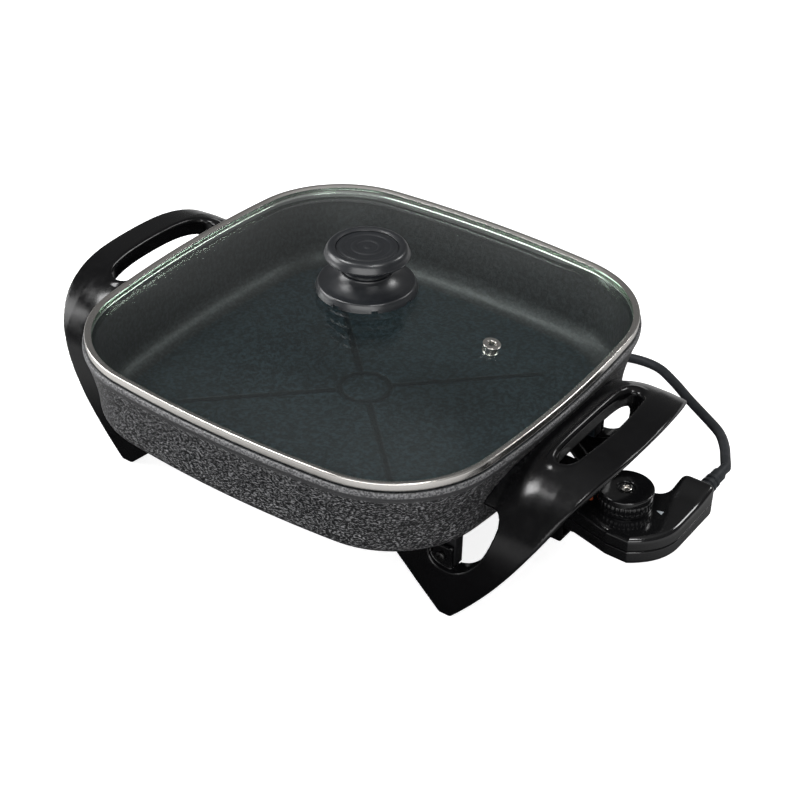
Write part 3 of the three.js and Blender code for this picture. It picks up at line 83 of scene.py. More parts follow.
back = Vector((
    math.sin(camera_turn) * math.cos(camera_tilt),
    -math.cos(camera_turn) * math.cos(camera_tilt),
    math.sin(camera_tilt),
))
level = Vector((math.cos(camera_turn), math.sin(camera_turn), 0))
upright = back.cross(level)
across = math.cos(camera_roll) * level + math.sin(camera_roll) * upright
up = math.cos(camera_roll) * upright - math.sin(camera_roll) * level

camera = bpy.data.objects.new("camera", bpy.data.cameras.new("camera"))
bpy.context.scene.collection.objects.link(camera)
camera.data.lens = camera_lens
camera.data.sensor_width = sensor
camera.data.clip_start = 0.01
camera.data.clip_end = 20
axes = Matrix((across, up, back)).transposed().to_4x4()
camera.matrix_world = Matrix.Translation(to_frame(camera_place)) @ axes
bpy.context.scene.camera = camera
print("camera at", [round(value, 3) for value in camera.matrix_world.translation])

# %% [markdown]
# ## Lead
#
# The lead of such a heat control is about a metre of round rubber flex, 7 mm thick. It leaves the
# housing level, sinks to the table behind the pan under its own weight and ends in a small coil of three
# turns in two layers, held by a tie, with the plug beside it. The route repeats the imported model's, so
# the solids that MuJoCo keeps lie inside the curve. One Bezier curve carries the whole of it: each handle
# points along the line through both neighbours and is a third of the way to the next point.

# %%
lead_radius = 3.5
coil_middle = (-25, 232)
coil_radius, turn_pitch, layer_pitch, coil_turns, coil_steps = 42.5, 7.8, 7.6, 3, 24
coil_height = 4.6
plug_height = 7.3
tail_run = 46
tail_shares = [(0.2, 0), (0.4, 0.2), (0.6, 0.65), (0.8, 0.97), (1, 1)]
relief_x, relief_z, relief_end = 227, 49, 77.3
free_route = [
    (227, 86, 48.6),
    (221, 98, 46),
    (211.6, 116.3, 41),
    (198.6, 136, 35),
    (181, 153.8, 29),
    (156.6, 176, 22),
    (129.3, 202, 14),
    (108.7, 217.5, 9),
    (88, 221, 6),
    (64, 213, 4.8),
    (40, 200, 4.6),
    (12, 190.7, 4.6),
]


def coil_route():
    """Turns that wind inwards, climb to a second layer and wind out again, and the way on to the plug."""
    route = []
    for step in range(coil_turns * coil_steps + 1):
        turn = step / coil_steps
        angle = -math.pi / 2 - 2 * math.pi * turn
        radius = coil_radius - turn_pitch * min(turn, coil_turns - turn)
        climb = min(max(2 * (turn - coil_turns / 2) + 1 / 2, 0), 1)
        height = coil_height + layer_pitch * (1 - math.cos(math.pi * climb)) / 2
        route.append((
            coil_middle[0] + radius * math.cos(angle),
            coil_middle[1] + radius * math.sin(angle),
            height,
        ))
    last = route[-1]
    fall = last[2] - plug_height
    route += [(last[0] - tail_run * along, last[1], last[2] - fall * down) for along, down in tail_shares]
    return route


coil_start_y = coil_middle[1] - coil_radius
lead_exit = (relief_x, relief_end, relief_z)
lead_route = [
    lead_exit,
    (relief_x, relief_end + 2 * lead_radius, relief_z),
    *free_route,
    (coil_middle[0] + 4 * lead_radius, coil_start_y, coil_height),
    *coil_route(),
]


def lead_curve(name, route, radius):
    """A round lead along a route, as one smooth Bezier spline."""
    points = to_frame(route)
    ahead = np.vstack([points[1:], 2 * points[-1:] - points[-2:-1]])
    behind = np.vstack([2 * points[:1] - points[1:2], points[:-1]])
    along = ahead - behind
    along /= np.linalg.norm(along, axis=1, keepdims=True)
    data = bpy.data.curves.new(name, "CURVE")
    data.dimensions = "3D"
    data.bevel_depth = 1
    data.bevel_resolution = 5
    data.resolution_u = 6
    data.use_fill_caps = True
    spline = data.splines.new("BEZIER")
    spline.bezier_points.add(len(points) - 1)
    for bezier, place, last, following, way in zip(spline.bezier_points, points, behind, ahead, along):
        bezier.handle_left_type = bezier.handle_right_type = "FREE"
        bezier.radius = radius * MM
        bezier.co = place
        bezier.handle_left = place - way * np.linalg.norm(place - last) / 3
        bezier.handle_right = place + way * np.linalg.norm(following - place) / 3
    curve = bpy.data.objects.new(name, data)
    bpy.context.scene.collection.objects.link(curve)
    return curve


lead = lead_curve("lead", lead_route, lead_radius)
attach(lead, "heat_control")
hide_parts("cord", "cord_coil")
lead_length = sum(
    (Vector(b) - Vector(a)).length
    for a, b in zip(to_frame(lead_route), to_frame(lead_route)[1:])
)
print("lead", round(lead_length, 3), "m")

# %% [markdown]
# ## Finishes
#
# Every finish is a Principled shader fed by noise in object coordinates, in millimetres, so that grain and
# scratches keep their real size on every piece. `Wire` stands for a node's output: arithmetic on it makes
# the maths nodes, which keeps the recipes below readable as formulas.

# %%
class Wire:
    """The output of a shader node. Arithmetic on it adds the maths node that does the same."""

    def __init__(self, tree, output):
        self.tree = tree
        self.output = output

    def feed(self, socket, value):
        if isinstance(value, Wire):
            self.tree.links.new(value.output, socket)
        else:
            socket.default_value = value

    def node(self, kind, values, result=0, **settings):
        """Any node: its settings, its inputs by name or number, and the output that is wanted."""
        made = self.tree.nodes.new("ShaderNode" + kind)
        for name, value in settings.items():
            setattr(made, name, value)
        for key, value in values.items():
            self.feed(made.inputs[key], value)
        return Wire(self.tree, made.outputs[result])

    def maths(self, operation, *others):
        return self.node("Math", dict(enumerate((self, *others))), operation=operation)

    def __add__(self, other):
        return self.maths("ADD", other)

    def __sub__(self, other):
        return self.maths("SUBTRACT", other)

    def __mul__(self, other):
        return self.maths("MULTIPLY", other)

    def __rsub__(self, other):
        return self * -1 + other

    def __abs__(self):
        return self.maths("ABSOLUTE")

    __radd__ = __add__
    __rmul__ = __mul__

    def rise(self, low, high, start=0, end=1):
        """Goes smoothly from start to end as the value goes from low to high."""
        span = {"From Min": low, "From Max": high, "To Min": start, "To Max": end}
        return self.node("MapRange", {"Value": self, **span}, interpolation_type="SMOOTHSTEP")

    def colours(self, dark, light):
        """Mixes two colours by this value."""
        ends = {0: self, 6: (*dark, 1), 7: (*light, 1)}
        return self.node("Mix", ends, result=2, data_type="RGBA")

    def stretched(self, *shares):
        """A place vector scaled along each axis."""
        return self.node("VectorMath", {0: self, 1: shares}, operation="MULTIPLY")

    def shifted(self, by):
        """A place vector moved by another wire."""
        return self.node("VectorMath", {0: self, 1: by}, operation="ADD")

    def noise(self, per_mm, detail=2, roughness=0.5):
        values = {"Vector": self, "Scale": per_mm, "Detail": detail, "Roughness": roughness}
        return self.node("TexNoise", values)

    def axis(self, which):
        return self.node("SeparateXYZ", {0: self}, result=which)

    def bump(self, height_mm):
        """A surface normal raised by this value times a height."""
        return self.node("Bump", {"Height": self, "Strength": 1, "Distance": height_mm * MM})


def surface(name, recipe, **constants):
    """A Principled material. The recipe turns the place in millimetres into its varying inputs."""
    material = bpy.data.materials.new(name)
    material.use_nodes = True
    tree = material.node_tree
    shader = tree.nodes["Principled BSDF"]
    for key, value in constants.items():
        shader.inputs[key.replace("_", " ")].default_value = value
    place = Wire(tree, tree.nodes.new("ShaderNodeTexCoord").outputs["Object"])
    for key, wire in recipe(place.stretched(1 / MM, 1 / MM, 1 / MM)).items():
        tree.links.new(wire.output, shader.inputs[key])
    return material


def moulding(name, dark, light, roughest, smoothest, grain=0.004, **constants):
    """A moulded plastic: faint mottling, soft changes of gloss and an almost smooth skin."""
    def recipe(place):
        return {
            "Base Color": place.noise(0.06, 3).colours(dark, light),
            "Roughness": place.noise(0.15, 4, 0.6).rise(0.3, 0.75, smoothest, roughest),
            "Normal": (place.noise(1.6, 2) + place.noise(0.12, 1)).bump(grain),
        }
    return surface(name, recipe, **constants)


def metal(name, dark, light, roughest, smoothest, scratch=(0.3, 0.3, 3)):
    """A polished metal with fine hairlines across one axis."""
    def recipe(place):
        hairlines = place.stretched(*scratch).noise(2.2, 3, 0.65)
        return {
            "Base Color": hairlines.colours(dark, light),
            "Roughness": hairlines.rise(0.25, 0.8, smoothest, roughest),
            "Normal": hairlines.bump(0.0005),
        }
    return surface(name, recipe, Metallic=1)

# %% [markdown]
# ### Non-stick coating
#
# The pan is an aluminium casting sprayed with a dark non-stick coating. Inside it is pebbled and flecked
# with grey-green, and shallow grooves draw a ring and a cross in the floor, painted darker as painted shade.
# Outside, the wall has a hammered finish of short wavy streaks whose crests are painted pale as a painted
# highlight, under a smooth turned band, and pale spots painted along the lip are a painted highlight. One
# material has all of it, because it is one casting: the place and the way that the surface faces say which
# finish shows.

# %%
outline_half, side_radius, corner_radius = 155, 795, 77
pan_floor, pan_rim = 64, 114.2
hub_groove, arm_end = 17, 120


def coating_recipe(place):
    x, y, z = (place.axis(which) for which in range(3))
    from_middle = x - pan_middle
    # The outer wall faces away from the pan's middle, and the inner wall faces towards it.
    facing = place.node("TexCoord", {}, result="Normal")
    outside = (facing.axis(0) * from_middle + facing.axis(1) * y).rise(5, 20)
    floor = z.rise(pan_floor + 0.6, pan_floor + 0.2) * (1 - outside)
    band = z.rise(pan_rim - 8.5, pan_rim - 6.5)
    diagonal = abs(abs(from_middle) - abs(y))
    centre = (from_middle * from_middle + y * y).maths("SQRT")
    arms = diagonal.rise(4.4, 1.6) * centre.rise(hub_groove, hub_groove + 3)
    arms = arms * centre.rise(arm_end + 8, arm_end)
    hub = abs(centre - hub_groove).rise(3, 1)
    groove = arms.maths("MAXIMUM", hub) * floor
    swirl = place.noise(0.12, 2) * 2.5
    streaks = place.stretched(0.6, 0.6, 1.6).shifted(swirl).noise(0.9, 3, 0.62)
    # The streaks' crests are painted pale: a painted highlight. The same mask raises the bump and lowers the
    # roughness.
    crest_and_highlight = streaks.rise(0.5, 0.66) * (1 - band) * outside * z.rise(61, 66)
    flecks = place.noise(0.4, 3, 0.75).rise(0.44, 0.6)
    # The grooves are painted darker: painted shade in the recesses.
    shade = (flecks * 0.7 + 0.25) * (1 - 0.7 * groove)
    wall = shade.colours((0.004, 0.005, 0.005), (0.029, 0.033, 0.037))
    base = shade.colours((0.001, 0.002, 0.003), (0.024, 0.040, 0.050))
    inner = floor.node("Mix", {0: floor, 6: wall, 7: base}, result=2, data_type="RGBA")
    # Pale mottled spots on the lip's face are a painted highlight along the lip.
    lip = z.rise(pan_rim - 3.4, pan_rim - 2.8) * place.noise(0.8, 2).rise(0.4, 0.62)
    outer = (crest_and_highlight + band * 0.12 + lip * 0.4).colours((0.007, 0.007, 0.008), (0.36, 0.36, 0.37))
    colour = outside.node("Mix", {0: outside, 6: inner, 7: outer}, result=2, data_type="RGBA")
    pebbles = place.noise(0.4, 3) * 0.5 * (1 - outside)
    relief = pebbles + crest_and_highlight * 0.5 - groove * 0.7
    return {
        "Base Color": colour,
        "Roughness": place.noise(0.8, 3).rise(0.3, 0.7, 0.36, 0.5) - 0.1 * crest_and_highlight,
        "Normal": relief.bump(0.6),
    }


coating = surface("coating", coating_recipe, Metallic=0.15, Specular_IOR_Level=0.6)

# %% [markdown]
# ### Plastics, rubber and metals
#
# Handles, guard and knob are compression-moulded phenolic, hard and black: polished on the handles, satin
# on the knob. The heat control's shells and dial are a glossier injection moulding. The lead is matt rubber.
# The band, the vent and most screws are bright steel. The screws in the legs are painted dark, a painted
# shade for the shade that they sit in under the pan, and the element's sheath is steel dulled by heat.

# %%
phenolic = moulding(
    "phenolic", (0.001, 0.001, 0.0012), (0.003, 0.003, 0.0035), 0.26, 0.16, 0.006, Specular_IOR_Level=0.4
)
satin_phenolic = moulding(
    "satin_phenolic", (0.008, 0.009, 0.011), (0.015, 0.017, 0.020), 0.36, 0.28, 0.008, Specular_IOR_Level=0.9
)
gloss_plastic = moulding(
    "gloss_plastic", (0.003, 0.003, 0.003), (0.006, 0.006, 0.007), 0.2, 0.1, 0.003,
    Coat_Weight=0.4, Coat_Roughness=0.06
)
rubber = moulding(
    "rubber", (0.014, 0.016, 0.019), (0.028, 0.031, 0.036), 0.62, 0.48, 0.02, Specular_IOR_Level=0.35
)
steel = metal("steel", (0.82, 0.79, 0.75), (0.93, 0.90, 0.86), 0.28, 0.16)
# The leg screws' dark steel is a painted shade: they sit in shade under the pan.
shaded_steel = metal("shaded_steel", (0.03, 0.03, 0.03), (0.10, 0.10, 0.10), 0.5, 0.3)
element_steel = metal("element_steel", (0.16, 0.15, 0.15), (0.33, 0.31, 0.30), 0.55, 0.38, (1, 1, 1))
brass = metal("brass", (0.55, 0.40, 0.18), (0.75, 0.58, 0.30), 0.4, 0.25, (1, 3, 3))


def ceramic_recipe(place):
    pores = place.noise(1.4, 3, 0.7)
    return {
        "Base Color": pores.colours((0.55, 0.51, 0.43), (0.75, 0.72, 0.64)),
        "Roughness": pores.rise(0.3, 0.7, 0.65, 0.9),
        "Normal": pores.bump(0.05),
    }


ceramic = surface("ceramic", ceramic_recipe)

# %% [markdown]
# ### Glass
#
# Tempered soda-lime glass, 4 mm thick. Seen through, such a sheet hardly shifts what lies behind it, so
# each face lets light straight through with a slight green tint and mirrors the room by the Fresnel law,
# more and more towards grazing angles. Rays aren't bent on their way through, so on the back of a face the
# index is turned over, and both sides of it mirror alike. The ground edge under the steel band looks
# greener. The pilot lamp's lens is a translucent red-orange plastic.

# %%
glass_index = 1.45


def sheet_glass(name, tint):
    """Glass that lets tinted light straight through and mirrors by the Fresnel law."""
    material = surface(
        name,
        lambda place: {"Roughness": place.noise(0.02, 2).rise(0.2, 0.8, 0.01, 0.03)},
        Base_Color=(1, 1, 1, 1),
        Metallic=1,
    )
    tree = material.node_tree
    mirror = Wire(tree, tree.nodes["Principled BSDF"].outputs[0])
    through = mirror.node("BsdfTransparent", {"Color": (*tint, 1)})
    inside = mirror.node("NewGeometry", {}, result="Backfacing")
    share = mirror.node("Fresnel", {"IOR": inside * (1 / glass_index - glass_index) + glass_index})
    both = mirror.node("MixShader", {0: share, 1: through, 2: mirror})
    tree.links.new(both.output, tree.nodes["Material Output"].inputs["Surface"])
    return material


glass = sheet_glass("glass", (0.95, 0.975, 0.965))
edge_glass = sheet_glass("edge_glass", (0.88, 0.95, 0.92))
lens_plastic = moulding(
    "lens_plastic", (0.50, 0.10, 0.04), (0.62, 0.16, 0.07), 0.15, 0.06, 0.001, Transmission_Weight=0.4
)

finishes = {
    "coating": coating,
    "element_steel": element_steel,
    "steel": steel,
    "glass": glass,
    "phenolic": phenolic,
    "housing": gloss_plastic,
    "rubber": rubber,
    "brass": brass,
    "ceramic": ceramic,
    "lens": lens_plastic,
}
for entry in frame["record"]["subparts"]:
    node = nodes[entry["node"]]
    node.data.materials.clear()
    node.data.materials.append(finishes[entry["material_slot"]])
lead.data.materials.append(rubber)
print("finishes", len(finishes))

# %% [markdown]
# ## Making meshes
#
# Most pieces are one of three forms. A profile swept round the pan's outline gives the pan, the glass and
# its band. A profile turned round an axis gives knob, dial, screws and pins. A moulding with ribs, windows
# and rounded edges is written as a field, a number that is negative inside it, and meshed where the field
# is zero.

# %%
def mesh_piece(name, points, faces, material, body, replaced=None, normals=None, slot=None):
    """A piece from points in millimetres, on its body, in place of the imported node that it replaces."""
    mesh = bpy.data.meshes.new(name)
    mesh.from_pydata(to_frame(points).tolist(), [], faces)
    mesh.shade_smooth()
    if normals is not None:
        mesh.normals_split_custom_set_from_vertices(normals.tolist())
    mesh.materials.append(material)
    made = bpy.data.objects.new(name, mesh)
    bpy.context.scene.collection.objects.link(made)
    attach(made, body)
    if replaced:
        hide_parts(replaced)
    slot or next(key for key, value in finishes.items() if value == material)
    return made


def crease(made, angle):
    """Keeps the edges sharp where two faces meet at more than an angle in degrees."""
    made.data.set_sharp_from_angle(angle=math.radians(angle))
    return made


def ring_faces(here, there, count):
    """Quads between two rings of points, from the number of each ring's first point."""
    steps = [(step, (step + 1) % count) for step in range(count)]
    return [(here + step, here + beside, there + beside, there + step) for step, beside in steps]


def grid_faces(rows, columns, closed_rows=False):
    """Quads between rows of points, where each row is a ring."""
    faces = []
    for row in range(rows if closed_rows else rows - 1):
        faces += ring_faces(row * columns, (row + 1) % rows * columns, columns)
    return faces


def capped_faces(rows, columns):
    """The same, with a flat face over the first ring and over the last."""
    last = (rows - 1) * columns
    return [tuple(reversed(range(columns))), *grid_faces(rows, columns), tuple(range(last, last + columns))]


def rounded(corners, radius, steps=4):
    """A run of points with its inner corners rounded off."""
    corners = np.asarray(corners, float)
    run = [corners[0]]
    for before, here, after in zip(corners, corners[1:], corners[2:]):
        back_way, onward = before - here, after - here
        reach = min(radius, np.linalg.norm(back_way) * 0.45, np.linalg.norm(onward) * 0.45)
        start = here + back_way * reach / np.linalg.norm(back_way)
        end = here + onward * reach / np.linalg.norm(onward)
        for share in np.linspace(0, 1, steps + 1):
            run.append((1 - share) ** 2 * start + 2 * share * (1 - share) * here + share ** 2 * end)
    run.append(corners[-1])
    return np.array(run)

# %% [markdown]
# ### Turned pieces
#
# A turned piece is its profile, as (radius, height) points, rounded a little at every corner and spun
# about an axis. Where the profile starts or ends on the axis, one point closes the piece.

# %%
def axes_of(direction):
    """Two axes across a direction, and the direction itself, each one long."""
    along = np.asarray(direction, float) / np.linalg.norm(direction)
    helper = (0, 0, 1) if abs(along[2]) < 0.9 else (1, 0, 0)
    side = np.cross(helper, along)
    side /= np.linalg.norm(side)
    return side, np.cross(along, side), along


def turned(profile, place, direction=(0, 0, 1), steps=64, shape=None):
    """Points and faces of a profile turned round an axis. shape may move each ring's radius by its angle."""
    side, other, along = axes_of(direction)
    angles = np.arange(steps) * 2 * np.pi / steps
    points, rings, tips = [], [], []
    for number, (radius, height) in enumerate(profile):
        if radius < 1e-6:
            tips.append((number, len(points)))
            points.append(np.asarray(place) + along * height)
            continue
        radii = np.full(steps, radius) if shape is None else shape(radius, height, angles)
        rings.append(len(points))
        ring = np.outer(radii * np.cos(angles), side) + np.outer(radii * np.sin(angles), other)
        points += list(ring + np.asarray(place) + along * height)
    faces = []
    for here, there in zip(rings, rings[1:] if tips else rings[1:] + rings[:1]):
        faces += ring_faces(here, there, steps)
    for number, tip in tips:
        ring = rings[0] if number == 0 else rings[-1]
        for step in range(steps):
            pair = (ring + step, ring + (step + 1) % steps)
            faces.append((tip, pair[1], pair[0]) if number == 0 else (tip, *pair))
    return np.array(points), faces


def turned_piece(name, profile, place, material, body, replaced, direction=(0, 0, 1), slot=None, **more):
    """A turned profile as a piece that keeps its sharper edges."""
    points, faces = turned(profile, place, direction, **more)
    made = mesh_piece(name, points, faces, material, body, replaced, slot=slot)
    return crease(made, 40)


def joined(*parts):
    """One list of points and faces from several."""
    points, faces, count = [], [], 0
    for part_points, part_faces in parts:
        points.append(part_points)
        faces += [tuple(count + corner for corner in face) for face in part_faces]
        count += len(part_points)
    return np.vstack(points), faces

# %% [markdown]
# ### Pieces swept round the pan's outline
#
# The pan is not quite square: its sides bow out with a radius of 795 mm and its corners have 77 mm. A
# profile row is (inset from the outline, height, share), and a share below 1 draws the ring in towards
# the middle, which shapes the glass dome.

# %%
side_middle = side_radius - outline_half
radius_step = side_radius - corner_radius
corner_place = (math.sqrt(2 * radius_step ** 2 - side_middle ** 2) - side_middle) / 2
side_angle = math.atan2(corner_place, corner_place + side_middle)


def outline_ring(inset, steps=(28, 30)):
    """Points round the outline at an inset: so many for each side and so many for each corner."""
    quarter = []
    for step in range(steps[0]):
        angle = side_angle * (2 * step / steps[0] - 1)
        reach = side_radius - inset
        quarter.append((reach * math.cos(angle) - side_middle, reach * math.sin(angle)))
    for step in range(steps[1]):
        angle = side_angle + (math.pi / 2 - 2 * side_angle) * step / steps[1]
        reach = corner_radius - inset
        quarter.append((corner_place + reach * math.cos(angle), corner_place + reach * math.sin(angle)))
    quarter = np.array(quarter)
    turns = ([[1, 0], [0, 1]], [[0, -1], [1, 0]], [[-1, 0], [0, -1]], [[0, 1], [-1, 0]])
    return np.vstack([quarter @ np.array(turn).T for turn in turns])


ring_size = len(outline_ring(0))


def swept(rows, closed=False):
    """Rings of the outline from rows of (inset, height, share), closed to a hoop or capped at both ends."""
    rings = []
    for inset, height, share in rows:
        rings.append(np.column_stack([outline_ring(inset) * share, np.full(ring_size, height)]))
    faces = grid_faces(len(rows), ring_size, True) if closed else capped_faces(len(rows), ring_size)
    return np.vstack(rings), faces


def out_of_outline(x, y):
    """How far a place lies outside the outline, negative inside."""
    wide, near = np.maximum(np.abs(x), np.abs(y)), np.minimum(np.abs(x), np.abs(y))
    by_side = np.hypot(wide + side_middle, near) - side_radius
    by_corner = np.hypot(wide - corner_place, near - corner_place) - corner_radius
    on_side = np.arctan2(near, wide + side_middle) < side_angle
    return np.where(on_side, by_side, by_corner)

# %% [markdown]
# Two ways to draw a profile: an arc, for the foot and the coves of a casting, and a smooth run through
# points, for forms that flow.

# %%
def quarter_round(inset, height, radius, start, end, steps=8):
    """Rows on an arc about (inset, height), with angles in degrees: 0 outwards, 90 up."""
    rows = []
    for angle in np.radians(np.linspace(start, end, steps + 1)):
        rows.append((inset - radius * math.cos(angle), height + radius * math.sin(angle), 1))
    return rows


def flowing(points, steps=6):
    """A smooth run through points."""
    points = np.asarray(points, float)
    ends = np.vstack([2 * points[0] - points[1], points, 2 * points[-1] - points[-2]])
    run = []
    for a, b, c, d in zip(ends, ends[1:], ends[2:], ends[3:]):
        for share in np.arange(steps) / steps:
            square, cube = share ** 2, share ** 3
            run.append((2 * b + (c - a) * share + (2 * a - 5 * b + 4 * c - d) * square
                        + (3 * b - a - 3 * c + d) * cube) / 2)
    return np.vstack([run, points[-1:]])

# %% [markdown]
# ## Pan
#
# The casting's wall is 4 mm thick. It stands 7 mm in at the foot, swells out to the rim and ends in a lip
# that carries the lid. Inside, a wide cove leads to the flat floor.

# %%
pan_underside, pan_wall, foot_radius, foot_inset, cove_radius = 59, 4, 12, 7, 17
lip_out, lip_height, lip_band, belly_power = 1.6, 3.6, 4, 1.6
foot_height = pan_underside + foot_radius
wall_top = pan_rim - lip_height - lip_band


def wall_inset(height):
    """How far the wall stands in from the outline at a height."""
    climb = np.clip((height - foot_height) / (wall_top - foot_height), 0, 1)
    return foot_inset * (1 - climb ** belly_power)


def pan_rows():
    """From the middle of the underside up the outer wall, over the lip and down to the floor."""
    outer = [(foot_inset + foot_radius, pan_underside, 0.5)]
    outer += quarter_round(foot_inset + foot_radius, foot_height, foot_radius, -90, 0)
    outer += [(wall_inset(z), z, 1) for z in np.linspace(foot_height, wall_top, 14)[1:]]
    lip = rounded([
        (0, wall_top + 1),
        (-lip_out, wall_top + lip_band),
        (-lip_out, pan_rim),
        (pan_wall, pan_rim),
        (pan_wall, wall_top),
    ], 1.2)
    cove_height = pan_floor + cove_radius
    inner = [(wall_inset(z) + pan_wall, z, 1) for z in np.linspace(wall_top, cove_height, 14)[1:]]
    cove_end = wall_inset(cove_height) + pan_wall + cove_radius
    cove = quarter_round(cove_end, cove_height, cove_radius, 0, -90, 14)
    return outer + [(*row, 1) for row in lip] + inner + cove[1:] + [(cove_end, pan_floor, 0.5)]

# %% [markdown]
# Below the floor are four cast lugs that the legs screw to, short walls that hold the element's tube, and
# the well for the control's sensor. They are blocks with rounded edges that run into the casting.

# %%
quarter_angles = np.radians(np.linspace(0, 90, 5))


def corner_arcs(u_range, v_range, inset, reach):
    """A ring of four arcs about places that lie inset from the corners of a rectangle."""
    (u0, u1), (v0, v1) = u_range, v_range
    centres = [(u1 - inset, v1 - inset), (u0 + inset, v1 - inset)]
    centres += [(u0 + inset, v0 + inset), (u1 - inset, v0 + inset)]
    ring = []
    for number, (u, v) in enumerate(centres):
        for angle in quarter_angles + number * math.pi / 2:
            ring.append((u + reach * math.cos(angle), v + reach * math.sin(angle)))
    return ring


def block(x_range, y_range, z_range, edge):
    """A block with all its edges rounded."""
    low, high = z_range
    layers = [(edge * math.sin(a), low + edge * (1 - math.cos(a))) for a in quarter_angles]
    layers += [(reach, low + high - height) for reach, height in reversed(layers)]
    rings = []
    for reach, height in layers:
        rings.append([(*place, height) for place in corner_arcs(x_range, y_range, edge, reach)])
    return np.vstack(rings), capped_faces(len(rings), len(rings[0]))


element_half, element_height, element_radius = 84, 54.9, 3.5
saddle_span, well_span, socket_height = (3.8, 6.8), (72, 120), 45
lug_x, lug_y, lug_half, lug_depth, lug_foot = 126, 84.5, 7.5, 4.5, 34
both_ends = ((-1, "front"), (1, "rear"))
saddle_places = [
    (0, element_half, True),
    (0, -element_half, True),
    (-element_half, 0, False),
    (element_half, 35, False),
    (element_half, -35, False),
]


def lug_block(side, end):
    """The lug for the leg at one side and end of the pan."""
    x, y = side * lug_x, end * lug_y
    return block((x - lug_half, x + lug_half), (y - lug_depth, y + lug_depth), (lug_foot, 62), 1.2)


def saddle_walls(x, y, along_x):
    """Two short walls with the element's tube between them."""
    for side in (-1, 1):
        across, run = sorted(side * reach for reach in saddle_span), (-7, 7)
        x_range, y_range = (run, across) if along_x else (across, run)
        yield block([x + v for v in x_range], [y + v for v in y_range], (53, 60), 0.8)


def sensor_well():
    """A square bar of the casting with the sensor's bore through it."""
    count, half, corner, bore = 32, 7.5, 9.4, 3.5
    angles = np.arange(count) * 2 * math.pi / count
    across, upwards = np.cos(angles), np.sin(angles)
    square = np.minimum(half / np.maximum(abs(across), abs(upwards)), corner)
    near, far = well_span
    rings = []
    for x, radius in ((near, square), (far, square), (far, bore), (near, bore)):
        rings.append(np.column_stack([np.full(count, x), radius * across, socket_height + radius * upwards]))
    return np.vstack(rings), grid_faces(len(rings), count, True)


pan = mesh_piece(
    "pan",
    *joined(
        swept(pan_rows()),
        *(lug_block(side, end) for side in (-1, 1) for end in (-1, 1)),
        *(wall for place in saddle_places for wall in saddle_walls(*place)),
        block(well_span, (-7.5, 7.5), (50, 60), 0.8),
        sensor_well(),
    ),
    coating,
    "pan",
    "pan_body",
)
crease(pan, 50)
print("pan", len(pan.data.polygons), "faces")

# %% [markdown]
# ## Element
#
# The heating element is one tube of sheathed resistance wire, bent round the underside, with both ends
# turned down to the socket. It is drawn as rings carried along the bent line.

# %%
def tube(route, radius, steps=16):
    """Rings carried along a route, each turned as little as the route allows."""
    route = np.asarray(route, float)
    along = np.gradient(route, axis=0)
    along /= np.linalg.norm(along, axis=1, keepdims=True)
    side = np.cross(along[0], (0, 0, 1))
    rings = []
    angles = np.arange(steps) * 2 * math.pi / steps
    for place, way in zip(route, along):
        side = side - way * np.dot(side, way)
        side /= np.linalg.norm(side)
        other = np.cross(way, side)
        ring = np.outer(np.cos(angles), side) + np.outer(np.sin(angles), other)
        rings.append(place + radius * ring)
    return np.vstack(rings), capped_faces(len(rings), steps)


element_corner, element_gate, gate_x, sheath_end, rise_run = 42, 14, 100, 130, 14
core = element_half - element_corner


def element_end(side):
    """One end of the tube: level in the socket, up to the underside and out to the loop."""
    spread = element_half - gate_x + 2 * rise_run
    return [
        (sheath_end, side * element_gate, socket_height),
        (gate_x + rise_run, side * element_gate, socket_height),
        (gate_x, side * element_gate, element_height),
        (element_half + rise_run / 2, side * (element_gate + spread / 4), element_height),
        (element_half, side * (element_gate + spread), element_height),
    ]


def element_side(turns):
    """One rounded corner and the straight after it, turned by quarter turns about the pan's middle."""
    places = []
    for angle in np.radians(np.linspace(0, 90, 7)):
        places.append((core + element_corner * math.cos(angle), core + element_corner * math.sin(angle)))
    places += [(-x, element_half) for x in np.linspace(-0.8, 0.8, 4) * core]
    for _ in range(turns):
        places = [(-y, x) for x, y in places]
    return [(x, y, element_height) for x, y in places]


element_route = element_end(1) + element_side(0) + element_side(1) + element_side(2)
element_route += element_side(3)[:7] + element_end(-1)[::-1]
loop = tube(flowing(element_route, 5), element_radius)
crease(mesh_piece("element", *loop, element_steel, "pan", "heating_element"), 50)
print("element", len(loop[1]), "faces")

# %% [markdown]
# ## Lid
#
# The glass is pressed to a shallow dome that keeps the pan's outline, with a flat edge all round. A strip
# of stainless steel is folded over that edge, polished, with its outer corners rolled. The steam vent is
# an eyelet of the same steel.

# %%
lid_seat, band_height, band_width, band_slope, steel_sheet = 114.5, 6.2, 4.5, 1.1, 0.8
lid_top = lid_seat + band_height
glass_edge, glass_inset, edge_width, glass_thickness, dome_rise = 115.6, 1.1, 5, 4, 22.5
dome_reach = outline_half - glass_inset - edge_width


def dome(share):
    """Height of the glass's upper face. share goes from 0 in the middle to 1 at the flat edge."""
    return glass_edge + glass_thickness + dome_rise * (1 - share ** 3)


def glass_rows():
    """Rows of the lower face, the edge and the upper face, and the number of the edge's first row."""
    inset = glass_inset + edge_width
    shares = np.linspace(0.03, 1, 30)
    lower = [(inset, dome(share) - glass_thickness, share) for share in shares]
    edge = rounded([
        (inset, glass_edge),
        (glass_inset, glass_edge),
        (glass_inset, glass_edge + glass_thickness),
        (inset, glass_edge + glass_thickness),
    ], 1.2)
    upper = [(inset, dome(share), share) for share in shares[::-1]]
    return lower[:-1] + [(*row, 1) for row in edge] + upper[1:], len(lower) - 1


rows, edge_start = glass_rows()
glass_lid = mesh_piece("glass_lid", *swept(rows), glass, "lid", "lid_glass")
glass_lid.data.materials.append(edge_glass)
edge_end = len(rows) - edge_start - 1
for face in glass_lid.data.polygons[1 + edge_start * ring_size:1 + edge_end * ring_size]:
    face.material_index = 1
crease(glass_lid, 60)

